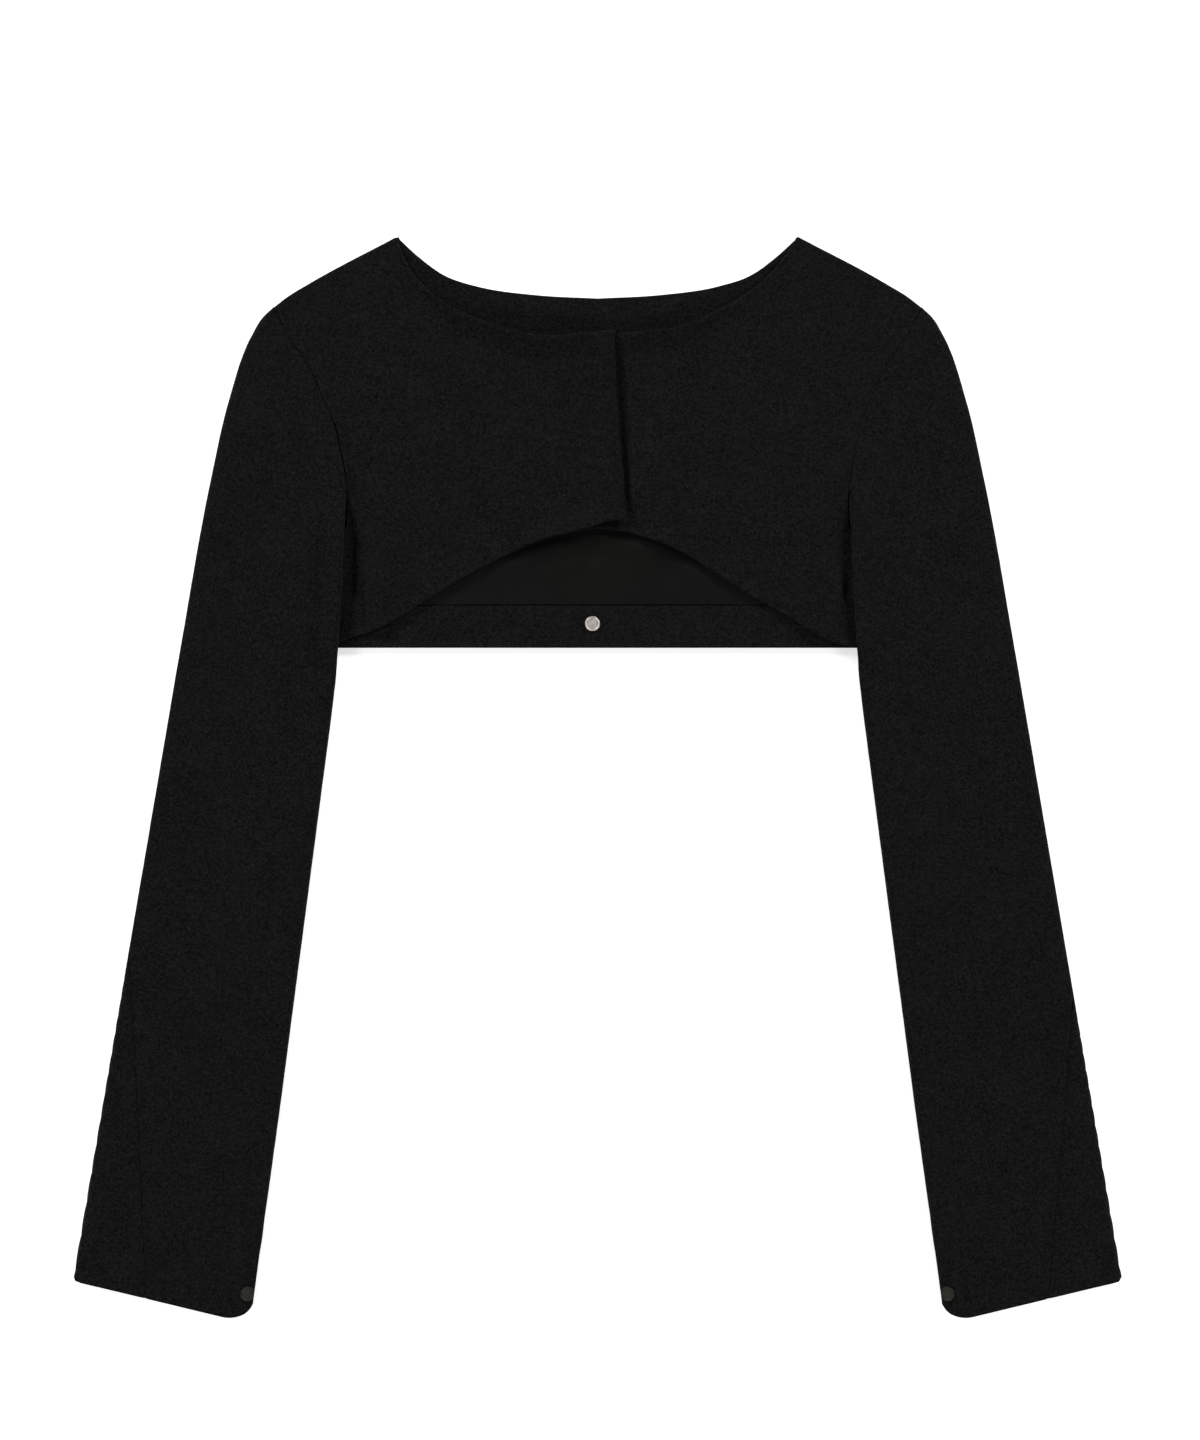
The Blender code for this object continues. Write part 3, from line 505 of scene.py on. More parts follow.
def unevenness(x, y, layers, seed):
    return sum(height * noise(x, y, size, seed + k) for k, (size, height) in enumerate(layers))


def creases(x, y, table):
    """Height that a table of creases adds at a place."""
    total = np.zeros(np.shape(x))
    place = np.stack([x, y], axis=-1)
    for values in table:
        crease = dict(zip(CREASE_COLUMNS, values))
        start = np.array([crease["from_x"], crease["from_y"]])
        run = np.array([crease["to_x"], crease["to_y"]]) - start
        length = np.linalg.norm(run)
        sideways = np.array([-run[1], run[0]]) / length
        share = np.clip((place - start) @ run / length**2, 0.0, 1.0)
        bow = crease["bow"] * 4 * share * (1 - share)
        nearest = start + share[..., None] * run + bow[..., None] * sideways
        away = np.linalg.norm(place - nearest, axis=-1) / crease["half_width"]
        thinning = CREASE_ENDS + (1 - CREASE_ENDS) * np.sin(math.pi * share)
        total += crease["height"] * thinning * np.clip(1 - away**2, 0.0, None) ** 2
    return total


# ---- Meshes -----------------------------------------------------------------

def all_cells(grid):
    return np.ones((grid.shape[0] - 1, grid.shape[1] - 1), bool)


def grid_normals(grid, facing):
    normal = np.cross(np.gradient(grid, axis=1), np.gradient(grid, axis=0))
    return unit(normal) * facing


def make_mesh(name, points, faces, material):
    """Object from points in millimetres and a list of faces."""
    data = bpy.data.meshes.new(name)
    data.from_pydata((np.asarray(points) * MM).tolist(), [], faces)
    data.materials.append(material)
    data.shade_smooth()
    item = bpy.data.objects.new(name, data)
    bpy.context.scene.collection.objects.link(item)
    return item


def make_cloth(name, middle, facing, material, thickness=WOOL, cells=None, rim=FREE_RIM,
               uneven=FELT_UNEVEN, seed=1):
    """Closed wall of cloth on a grid of middle points, with rounded edges.

    Facing 1 puts the outside where the grid's own normals point and -1 on the
    other side. The rim is how far an edge bulges out, one value or a grid.
    """
    rows, columns = middle.shape[:2]
    if cells is None:
        cells = all_cells(middle)
    used = np.zeros((rows, columns), bool)
    for i in (0, 1):
        for j in (0, 1):
            used[i:rows - 1 + i, j:columns - 1 + j] |= cells
    index = np.full((rows, columns), -1)
    index[used] = np.arange(used.sum())

    normal = grid_normals(middle, facing)
    relief = unevenness(middle[..., 0] + middle[..., 2], middle[..., 1], uneven[-1:], seed)
    half = normal * thickness / 2
    upper = (middle + half + normal * relief[..., None])[used]
    lower = (middle - half + normal * relief[..., None])[used]
    centre = middle[used]
    half = half[used]
    rim = np.broadcast_to(rim, (rows, columns))[used]

    corners = np.stack([index[:-1, :-1], index[:-1, 1:], index[1:, 1:], index[1:, :-1]], axis=-1)
    quads = corners[cells]
    if facing < 0:
        quads = quads[:, ::-1]
    starts = quads.ravel()
    ends = np.roll(quads, -1, axis=1).ravel()
    count = len(upper)
    free = ~np.isin(starts * count + ends, ends * count + starts)
    starts, ends = starts[free], ends[free]

    outward = np.zeros((count, 3))
    sideways = unit(np.cross(centre[ends] - centre[starts], half[starts]))
    np.add.at(outward, starts, sideways)
    np.add.at(outward, ends, sideways)
    edge = np.unique(starts)
    ring_index = np.full(count, -1)
    ring_index[edge] = np.arange(len(edge))
    outward = unit(outward)[edge] * rim[edge][:, None]
    shift = (upper + lower)[edge] / 2

    layers = [upper, lower]
    rings = [np.arange(count)]
    for k in range(1, RIM_STEPS + 1):
        angle = math.pi * k / (RIM_STEPS + 1)
        layers.append(shift + outward * math.sin(angle) + half[edge] * math.cos(angle))
        rings.append(2 * count + (k - 1) * len(edge) + ring_index)
    rings.append(count + np.arange(count))
    faces = quads.tolist() + (quads[:, ::-1] + count).tolist()
    for near, far in zip(rings[:-1], rings[1:]):
        faces += np.stack([near[ends], near[starts], far[starts], far[ends]], axis=-1).tolist()
    item = make_mesh(f"{name}_cloth", np.concatenate(layers), faces, material)
    item["cloth_area"] = cloth_area(middle, cells)
    return item


def cloth_area(middle, cells):
    """Area of the middle surface in square metres."""
    one = np.cross(middle[1:, 1:] - middle[:-1, :-1], middle[1:, :-1] - middle[:-1, 1:])
    return float(np.linalg.norm(one, axis=-1)[cells].sum() / 2 * MM**2)


def declare(item, node):
    """Ride the body and stand for the solid."""
    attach(item, "root")
    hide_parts(node)


# ---- Materials --------------------------------------------------------------

class Nodes:
    """Short way to write a material's node tree."""

    def __init__(self, name):
        self.material = bpy.data.materials.new(name)
        self.material.use_nodes = True
        self.tree = self.material.node_tree
        self.shader = self.tree.nodes["Principled BSDF"]
        self.place = self.add("ShaderNodeTexCoord").outputs["Object"]

    def add(self, kind, **settings):
        node = self.tree.nodes.new(kind)
        for key, value in settings.items():
            setattr(node, key, value)
        return node

    def link(self, source, target):
        self.tree.links.new(source, target)

    def value(self, socket, given):
        """Set a socket from a number or colour, or link an output to it."""
        if isinstance(given, bpy.types.NodeSocket):
            self.link(given, socket)
        else:
            socket.default_value = given

    def mapped(self, source, rotation, scale, shift=(0.0, 0.0, 0.0)):
        """Shift a place, turn it, and only then scale it along the turned axes."""
        turn = self.add("ShaderNodeMapping", vector_type="TEXTURE")
        self.link(source, turn.inputs["Vector"])
        turn.inputs["Location"].default_value = shift
        turn.inputs["Rotation"].default_value = rotation
        node = self.add("ShaderNodeVectorMath", operation="MULTIPLY")
        self.link(turn.outputs["Vector"], node.inputs[0])
        node.inputs[1].default_value = scale
        return node.outputs[0]

    def noise(self, source, scale, detail=2.0, roughness=0.5, distortion=0.0, output="Fac"):
        node = self.add("ShaderNodeTexNoise")
        self.link(source, node.inputs["Vector"])
        numbers = {"Scale": scale, "Detail": detail, "Roughness": roughness,
                   "Distortion": distortion}
        for name, number in numbers.items():
            node.inputs[name].default_value = number
        return node.outputs[output]

    def math(self, operation, first, second=0.0):
        node = self.add("ShaderNodeMath", operation=operation)
        self.value(node.inputs[0], first)
        self.value(node.inputs[1], second)
        return node.outputs[0]

    def spread(self, value, low, high, to_low=0.0, to_high=1.0):
        """Map a value smoothly from one range to another."""
        node = self.add("ShaderNodeMapRange", interpolation_type="SMOOTHSTEP")
        self.link(value, node.inputs["Value"])
        numbers = {"From Min": low, "From Max": high, "To Min": to_low, "To Max": to_high}
        for name, number in numbers.items():
            node.inputs[name].default_value = number
        return node.outputs["Result"]

    def blend(self, factor, first, second):
        node = self.add("ShaderNodeMix", data_type="RGBA")
        self.value(node.inputs[0], factor)
        self.value(node.inputs[6], (*first, 1.0) if isinstance(first, tuple) else first)
        self.value(node.inputs[7], (*second, 1.0) if isinstance(second, tuple) else second)
        return node.outputs[2]

    def bump(self, height, strength, distance):
        node = self.add("ShaderNodeBump")
        node.inputs["Strength"].default_value = strength
        node.inputs["Distance"].default_value = distance
        self.link(height, node.inputs["Height"])
        return node.outputs["Normal"]

    def finish(self, **inputs):
        for key, given in inputs.items():
            socket = self.shader.inputs[key.replace("_", " ")]
            self.value(socket, (*given, 1.0) if isinstance(given, tuple) else given)
        return self.material


WOOL_DARK = (0.0016, 0.0016, 0.0016)
WOOL_LIGHT = (0.0100, 0.0102, 0.0100)
WANDER_SCALE = 260.0
WANDER_REACH = (0.003, 0.003, 0.003)
FIBRE_TURNS = (0.25, 1.2, 2.1, 2.8)
FIBRE_SCALE = (420.0, 2300.0, 420.0)
SPECK_SCALE = 700.0
CLOUD_SCALE = 60.0

LINING_DARK = (0.0042, 0.0042, 0.0040)
LINING_LIGHT = (0.0056, 0.0056, 0.0054)
LINING_OLIVE = (0.0058, 0.0057, 0.0042)
TWILL_TURN = (0.0, 0.0, 0.62)
TWILL_SCALE = 560.0
THREAD_SCALE = (300.0, 2600.0, 300.0)
PATCH_CENTRE = (0.002, 0.131, 0.0)
PATCH_TURN = (0.0, 0.0, 0.1)
PATCH_SCALE = (22.0, 38.0, 30.0)
CLUMP_SCALE = 90.0

METAL_PATCH_SCALE = 900.0
SCRATCH_TURN = (0.0, 0.0, 0.9)
SCRATCH_SCALE = (900.0, 9000.0, 900.0)


def make_wool():
    """Felted wool: curled fibres in all directions over small mottled specks."""
    nodes = Nodes("felted_wool")
    wander = nodes.noise(nodes.place, WANDER_SCALE, detail=1.0, output="Color")
    warped = nodes.add("ShaderNodeVectorMath", operation="MULTIPLY_ADD")
    nodes.link(wander, warped.inputs[0])
    warped.inputs[1].default_value = WANDER_REACH
    nodes.link(nodes.place, warped.inputs[2])
    fibres = None
    for k, turn in enumerate(FIBRE_TURNS):
        lay = nodes.mapped(warped.outputs[0], (0.3 * k, 0.2, turn), FIBRE_SCALE)
        strand = nodes.noise(lay, 1.0, detail=1.5, roughness=0.4)
        strand = nodes.spread(strand, 0.42, 0.72)
        fibres = strand if fibres is None else nodes.math("MAXIMUM", fibres, strand)
    specks = nodes.noise(nodes.place, SPECK_SCALE, detail=3.0, roughness=0.6, distortion=0.8)
    clouds = nodes.noise(nodes.place, CLOUD_SCALE, detail=3.0, roughness=0.5)
    height = nodes.math("ADD", nodes.math("MULTIPLY", fibres, 0.35),
                        nodes.math("MULTIPLY", specks, 1.2))
    tone = nodes.math("ADD", height, nodes.math("MULTIPLY", clouds, 0.15))
    colour = nodes.blend(nodes.spread(tone, 0.62, 1.22), WOOL_DARK, WOOL_LIGHT)
    normal = nodes.bump(height, 0.5, 0.0006)
    return nodes.finish(Base_Color=colour, Roughness=0.95, Specular_IOR_Level=0.04,
                        Sheen_Weight=0.015, Sheen_Roughness=0.5, Normal=normal)


def make_lining_material():
    """Smooth twill lining: fine diagonal lines and faint cloudy wear."""
    nodes = Nodes("smooth_lining")
    lines = nodes.add("ShaderNodeTexWave", wave_type="BANDS", bands_direction="X")
    nodes.link(nodes.mapped(nodes.place, TWILL_TURN, (1.0, 1.0, 1.0)), lines.inputs["Vector"])
    lines.inputs["Scale"].default_value = TWILL_SCALE
    lines.inputs["Distortion"].default_value = 0.4
    clouds = nodes.noise(nodes.place, CLOUD_SCALE, detail=2.0)
    threads = nodes.noise(nodes.mapped(nodes.place, TWILL_TURN, THREAD_SCALE), 1.0, detail=1.0)
    tone = nodes.math("ADD", nodes.math("MULTIPLY", clouds, 0.7),
                      nodes.math("MULTIPLY", threads, 0.4))
    plain = nodes.blend(nodes.spread(tone, 0.2, 0.95), LINING_DARK, LINING_LIGHT)
    patch = nodes.add("ShaderNodeTexGradient", gradient_type="SPHERICAL")
    nodes.link(nodes.mapped(nodes.place, PATCH_TURN, PATCH_SCALE, PATCH_CENTRE),
               patch.inputs["Vector"])
    clumps = nodes.noise(nodes.place, CLUMP_SCALE, detail=2.0)
    olive = nodes.math("MULTIPLY", patch.outputs["Fac"], nodes.spread(clumps, 0.3, 0.7))
    colour = nodes.blend(olive, plain, LINING_OLIVE)
    roughness = nodes.spread(threads, 0.3, 0.7, 0.5, 0.62)
    normal = nodes.bump(lines.outputs["Fac"], 0.12, 0.0002)
    return nodes.finish(Base_Color=colour, Roughness=roughness, Specular_IOR_Level=0.05,
                        Sheen_Weight=0.01, Sheen_Roughness=0.4, Normal=normal)


def make_metal(name, bright, dull, low_rough, high_rough):
    """Plated metal, duller in patches, with fine turning marks."""
    nodes = Nodes(name)
    patches = nodes.noise(nodes.place, METAL_PATCH_SCALE, detail=3.0)
    marks = nodes.mapped(nodes.place, SCRATCH_TURN, SCRATCH_SCALE)
    scratches = nodes.noise(marks, 1.0, detail=2.0)
    colour = nodes.blend(nodes.spread(patches, 0.35, 0.7), bright, dull)
    roughness = nodes.spread(scratches, 0.3, 0.7, low_rough, high_rough)
    normal = nodes.bump(scratches, 0.08, 0.00005)
    return nodes.finish(Base_Color=colour, Metallic=1.0, Roughness=roughness, Normal=normal)


WOOL_MATERIAL = make_wool()
LINING_MATERIAL = make_lining_material()
LIGHT_NICKEL = make_metal("light_nickel", (0.66, 0.61, 0.56), (0.48, 0.44, 0.40), 0.50, 0.62)
DARK_NICKEL = make_metal("dark_nickel", (0.031, 0.030, 0.025), (0.018, 0.018, 0.015), 0.45, 0.6)


# ---- Body -------------------------------------------------------------------

def shoulder_out():
    """Direction square to the shoulder line of the +X half, away from the body."""
    run = np.subtract(SHOULDER[1], SHOULDER[0])
    return unit((-run[1], run[0]))


def lower_shift(share):
    """How far the armhole seam of the lower layer lies outside the upper one's.

    The share runs from 0 at the shoulder tip to 1 at the underarm. The shift
    keeps the two seams from lying in line, as turned allowances would.
    """
    near_fold = ease((1.0 - share) / SHIFT_ENDS)
    return ease(share / SHIFT_STARTS) * (FOLD_REACH + (LOWER_SHIFT - FOLD_REACH) * near_fold)


def side_edge(panel):
    """Armhole and side of a body panel, from the shoulder fold to the hem."""
    armhole = offset(spline(ARMHOLE), -SEAM_GAP / 2 - SEAM_RIM)
    fold = spline(BODY_FOLD)
    inside = np.full(len(fold), FOLD_REACH - SEAM_RIM)
    tuck_starts, tuck_ends = TUCK_Y[panel]
    tuck = ease((tuck_starts - fold[:, 1]) / (tuck_starts - tuck_ends))
    if panel == "back":
        arcs = arc_lengths(armhole)
        tangent = unit(np.gradient(armhole, axis=0))
        sideways = np.stack([-tangent[:, 1], tangent[:, 0]], axis=-1)
        armhole = armhole + lower_shift(arcs / arcs[-1])[:, None] * sideways
    else:
        inside -= (GAP + FOLD_REACH) * ease((UNDERARM[1] - fold[:, 1]) / SIDE_EASE)
    start = along(armhole, SHOULDER_INSET)
    armhole = armhole[armhole[:, 1] < start[1] - ARMHOLE_START]
    fold = fold + np.stack([inside + (SIDE_TUCK - inside) * tuck, 0 * tuck], axis=-1)
    return np.concatenate([[start], armhole, fold[1:]])


def neck_edge(neckline, rim):
    """Neckline inside its rounded edge, from the shoulder fold inwards."""
    curve = offset(spline(neckline), rim)
    depth = -(curve - np.asarray(NECK_POINT)) @ shoulder_out()
    inside = np.argmax(depth > SHOULDER_INSET)
    share = (SHOULDER_INSET - depth[inside - 1]) / (depth[inside] - depth[inside - 1])
    start = curve[inside - 1] + share * (curve[inside] - curve[inside - 1])
    return np.concatenate([[start], curve[inside:]])


def shoulder_edge(start, end):
    """Shoulder of a body panel inside its fold, from armhole to neck."""
    line = spline(SHOULDER)[::-1] - shoulder_out() * SHOULDER_INSET
    low, high = end[0] + SHOULDER_CLEARANCE, start[0] - SHOULDER_CLEARANCE
    keep = (line[:, 0] < high) & (line[:, 0] > low)
    return np.concatenate([[start], line[keep], [end]])


def top_edge(neckline, rim, close_end):
    """Upper edge of a half panel, and the number of its points on the shoulder."""
    neck = neck_edge(neckline, rim)
    shoulder = shoulder_edge(side_edge("front")[0], neck[0])
    on_shoulder = along(shoulder, graded(arc_lengths(shoulder)[-1], GRID_STEP))
    on_neck = along(neck, graded(arc_lengths(neck)[-1], GRID_STEP, True, close_end))
    return np.concatenate([on_shoulder, on_neck[1:]]), len(on_shoulder)


def with_curl(middle, columns, out, rises):
    """Add the rows of a shoulder fold above the first row of a grid.

    The fold's columns turn over it. The others carry on the same steps, which
    keeps the normals true, and are left out of the cloth.
    """
    rows = []
    anchor = columns[-1] if columns[0] == 0 else columns[0]
    for angle in CURL_ANGLES[::-1]:
        row = middle[0].copy()
        row[:, :2] += out * SHOULDER_RADIUS * math.cos(angle)
        row[:, 2] += rises * SHOULDER_RADIUS * (1 - math.sin(angle))
        rows.append(row)
    others = np.ones(middle.shape[1], bool)
    others[columns] = False
    for row in rows:
        row[others] = middle[0][others] + row[anchor] - middle[0][anchor]
    return np.concatenate([rows[::-1], middle])


def seam_groove(distance, run):
    """Depth that a seam draws the cloth down, with a dimple at each stitch."""
    stitches = STITCH_DEPTH * (0.5 + 0.5 * np.cos(2 * math.pi * run / STITCH_PITCH))
    return -(SEAM_DEPTH + stitches) * np.exp(-(distance / SEAM_WIDTH) ** 2)


def soft_limit(height, limit, above):
    """Keep a height above (1) or below (-1) a limit, with a smooth turn."""
    gap = above * (height - limit)
    return limit + above * (gap + np.sqrt(gap**2 + SOFT_TURN)) / 2


def highest_front(x, y):
    """Highest middle of a front under the sleeve's lip, free further in."""
    fold = spline(BODY_FOLD)[::-1]
    inside = np.interp(y, fold[:, 1], fold[:, 0]) - LIP_INSET - np.abs(x)
    under_lip = LIP_UNDERSIDE - GAP - WOOL / 2
    free = LIP_FREE_RISE * ease((y - LIP_TOP_Y) / LIP_TOP_EASE)
    return under_lip + LIP_FREE_SLOPE * np.clip(inside, 0.0, None) + free


def lowest_front(x, y):
    """Lowest height of a front's middle over the layers that it lies on."""
    on_back = WOOL + GAP + WOOL / 2
    on_lining = LINING_MID + LINING / 2 + GAP + WOOL / 2
    off_lining = ease((np.abs(x) - LINING_SIDE_X) / LINING_SIDE_EASE)
    height = on_lining + (on_back - on_lining) * off_lining
    off_facing = ease((y - FACING_TOP_Y - FACING_CLEARANCE) / FACING_EASE)
    return FRONT_MID + (height - FRONT_MID) * off_facing


def make_front(side, neckline, hem, edge, climb):
    """A front, with its folds, its armhole seam and its shoulder fold."""
    name = "left_front" if side == LEFT else "right_front"
    top, on_shoulder = top_edge(neckline, FREE_RIM, True)
    across = shares(top)
    outside = side_edge("front")
    down = graded_shares(arc_lengths(outside)[-1], GRID_STEP)
    outside = at_fractions(outside, down)
    hem_curve = offset(spline([tuple(outside[-1]), *hem]), FREE_RIM)
    centre = offset(spline(edge), FREE_RIM)
    centre[0] = top[-1]
    centre[-1] = hem_curve[-1] = (centre[-1] + hem_curve[-1]) / 2
    bottom = at_fractions(hem_curve, across)
    bottom[0] = outside[-1]
    plan = coons(top, bottom, outside, at_fractions(centre, down), across, down)
    plan = mirrored(plan, side)
    x, y = plan[..., 0], plan[..., 1]
    height = FRONT_MID + creases(x, y, FRONT_CREASES[side])
    if climb:
        height += OVERLAP_RISE * ease((x - CLIMB_FROM_X) / (CLIMB_TO_X - CLIMB_FROM_X))
    height += unevenness(x, y, FELT_UNEVEN[:2], 11 + side)
    height += edge_curl(plan, on_shoulder, climb)
    height -= armhole_sink(side, y) * np.exp(-(from_edge(plan, 0) / SINK_WIDTH) ** 2)
    height = soft_limit(height, lowest_front(x, y), 1)
    height = soft_limit(height, highest_front(x, y), -1)
    in_armhole = ease((y - UNDERARM[1]) / ARMHOLE_SEAM_EASE)
    height += in_armhole * seam_groove(from_edge(plan, 0), y)
    middle = np.dstack([plan, height])
    level = middle[0, :on_shoulder, 2]
    fade = np.exp(-from_top(plan)[:, :on_shoulder] / SHOULDER_FADE)
    middle[:, :on_shoulder, 2] -= (level - FRONT_MID) * fade
    middle = with_curl(middle, np.arange(on_shoulder), shoulder_out() * (side, 1.0), -1)
    cells = all_cells(middle)
    cells[:len(CURL_ANGLES), on_shoulder - 1:] = False
    rim = np.full(middle.shape[:2], FREE_RIM)
    rim[:, 0] = SEAM_RIM
    rim[len(CURL_ANGLES), on_shoulder:-1] = NECK_RIM
    item = make_cloth(name, middle, side, WOOL_MATERIAL, cells=cells, rim=rim, seed=20 + side)
    declare(item, name)
    return item


def edge_curl(plan, on_shoulder, climb):
    """Rise of a front's free edges: hem, neckline and, on top, the placket."""
    def near(distance):
        return np.exp(-(distance / CURL_WIDTH) ** 2)

    from_neck_point = from_edge(plan, 0) - from_edge(plan, 0)[:1, on_shoulder - 1]
    on_neckline = ease(from_neck_point / NECK_CURL_EASE)
    from_hem = from_edge(plan.transpose(1, 0, 2), -1).T
    centred = np.exp(-(plan[..., 0] / HEM_CURL_REACH) ** 2)
    hem_curl = HEM_CURL_AT_SIDE + (HEM_CURL - HEM_CURL_AT_SIDE) * centred
    rise = NECK_CURL * near(from_top(plan)) * on_neckline + hem_curl * near(from_hem)
    if climb:
        below_neck = ease((from_top(plan) - PLACKET_CURL_STARTS) / PLACKET_CURL_EASE)
        rise += PLACKET_CURL * near(from_edge(plan, -1)) * below_neck
    return rise


def from_top(plan):
    """Distance of each point from the first row, along its column."""
    return from_edge(plan.transpose(1, 0, 2), 0).T


def make_back():
    """The back, with a shoulder fold at each side."""
    half, on_shoulder = top_edge(BACK_NECK, FREE_RIM, False)
    half[-1, 0] = 0.0
    outside = side_edge("back")
    half[0] = outside[0]
    down = graded_shares(arc_lengths(outside)[-1], BACK_STEP)
    left = at_fractions(outside, down)
    left[-1, 1] = HEM_Y + FREE_RIM
    plan = symmetric_plan(half, left, down)
    middle = np.dstack([plan, np.full(plan.shape[:2], BACK_MID)])
    last = plan.shape[1]
    right_columns = np.arange(on_shoulder)
    left_columns = np.arange(last - on_shoulder, last)
    out = shoulder_out()
    curled = with_curl(middle, right_columns, out * (RIGHT, 1.0), 1)
    other = with_curl(middle, left_columns, out, 1)
    half_way = last // 2
    curled[:, half_way:] = other[:, half_way:]
    cells = all_cells(curled)
    cells[:len(CURL_ANGLES), on_shoulder - 1:last - on_shoulder] = False
    rim = np.full(curled.shape[:2], FREE_RIM)
    rim[:, 0] = rim[:, -1] = SEAM_RIM
    item = make_cloth("back", curled, 1, WOOL_MATERIAL, cells=cells, rim=rim, seed=5)
    declare(item, "back")
    return item


def make_hem_facing():
    """Facing along the back hem, with the seam to the lining at its top."""
    reach = side_edge("front")[-1][0] - HEM_FACING_INSET
    x = -reach + graded(2 * reach, GRID_STEP)
    depth = FACING_TOP_Y - HEM_Y - GAP - FREE_RIM - SEAM_RIM
    y = HEM_Y + GAP + FREE_RIM + graded(depth, HEM_FACING_STEP)
    plan = np.dstack(np.meshgrid(x, y))
    x, y = plan[..., 0], plan[..., 1]
    height = FACING_MID + unevenness(x, y, FELT_UNEVEN[1:2], 31)
    height += HEM_FACING_GROOVE * seam_groove(FACING_TOP_Y - y, x)
    middle = np.dstack([plan, height])
    rim = np.full(middle.shape[:2], FREE_RIM)
    rim[-1] = SEAM_RIM
    item = make_cloth("back_hem_facing", middle, -1, WOOL_MATERIAL, rim=rim, seed=6)
    declare(item, "back_hem_facing")
    return item


def make_neck_facing():
    """Facing inside the back neck."""
    neck = neck_edge(BACK_NECK, FREE_RIM + GAP)
    length = arc_lengths(neck)[-1] - NECK_FACING_START
    neck = along(neck, NECK_FACING_START + graded(length, GRID_STEP, True, False))
    neck[-1, 0] = 0.0
    lower = both_halves(spline(FACING_LOWER)) + (0.0, FREE_RIM)
    down = graded_shares(NECK_FACING_SIDE, GRID_STEP)
    left = at_fractions(np.array([neck[0], lower[-1]]), down)
    plan = symmetric_plan(neck, left, down, lower)
    x, y = plan[..., 0], plan[..., 1]
    height = FACING_MID + unevenness(x, y, FELT_UNEVEN[1:2], 41)
    middle = np.dstack([plan, height])
    item = make_cloth("back_neck_facing", middle, -1, WOOL_MATERIAL, seed=7)
    declare(item, "back_neck_facing")
    return item


def make_lining():
    """Lining of the back, between the two facings."""
    lower = spline(FACING_LOWER) - (0.0, GAP + LINING / 2)
    half = np.concatenate([[LINING_SIDE[0]], lower])
    half = at_fractions(half, np.linspace(0.0, 1.0, LINING_TOP_POINTS))
    half[-1, 0] = 0.0
    side = spline(LINING_SIDE)
    down = graded_shares(arc_lengths(side)[-1], LINING_STEP)
    left = at_fractions(side, down)
    left[-1, 1] += LINING / 2 + SEAM_GAP - GAP
    plan = symmetric_plan(half, left, down)
    x, y = plan[..., 0], plan[..., 1]
    settled = ease((y - FACING_TOP_Y) / LINING_SETTLES)
    shape = creases(x, y, LINING_CREASES) + unevenness(x, y, LINING_UNEVEN, 51)
    middle = np.dstack([plan, LINING_MID + settled * shape])
    item = make_cloth("back_lining", middle, -1, LINING_MATERIAL, thickness=LINING,
                      rim=LINING / 2, uneven=LINING_UNEVEN, seed=8)
    declare(item, "back_lining")
    return item


# ---- Sleeves ----------------------------------------------------------------

def quarter_turn(distance, radius):
    """Rise of a round corner at a distance from the edge that it ends on."""
    inside = radius - np.clip(distance, 0.0, radius)
    return radius - np.sqrt(radius**2 - inside**2)


def armhole_sink(side, y):
    """Depth to which both layers sink along the lower part of an armhole."""
    below_top = ease((SINK_TOP_Y - y) / SINK_TOP_EASE)
    return SINK_DEPTH[side] * below_top * ease((y - SINK_FOOT_Y) / SINK_FOOT_EASE)


class Sleeve:
    """Rows of a sleeve from the shoulder tip to the cuff, as sections."""

    def __init__(self, side):
        self.side = side
        self.armhole = offset(spline(ARMHOLE), SEAM_GAP / 2 + SEAM_RIM)
        self.fold = np.concatenate([spline(BODY_FOLD), FOLD_EDGE[len(BODY_FOLD):]])
        self.outer = np.concatenate([spline(SLEEVE_OUTER[:-1]), SLEEVE_OUTER[-1:]])
        self.armhole_length = arc_lengths(self.armhole)[-1]
        self.fold_length = arc_lengths(self.fold)[-1]
        open_rows = graded(self.armhole_length - SHOULDER_INSET, ROW_STEP, True, False)
        closed_rows = graded(self.fold_length - FREE_RIM, ROW_STEP, False, True)[1:]
        first = SHOULDER_INSET + open_rows
        self.distances = np.concatenate([first, self.armhole_length + closed_rows])
        self.open_rows = len(first)
        self.stations = np.where(
            self.distances <= self.armhole_length,
            (self.distances - SHOULDER_INSET) / (self.armhole_length - SHOULDER_INSET),
            1.0 + (self.distances - self.armhole_length) / self.fold_length)

    def rows(self):
        return [SleeveRow(self, k) for k in range(len(self.distances))]


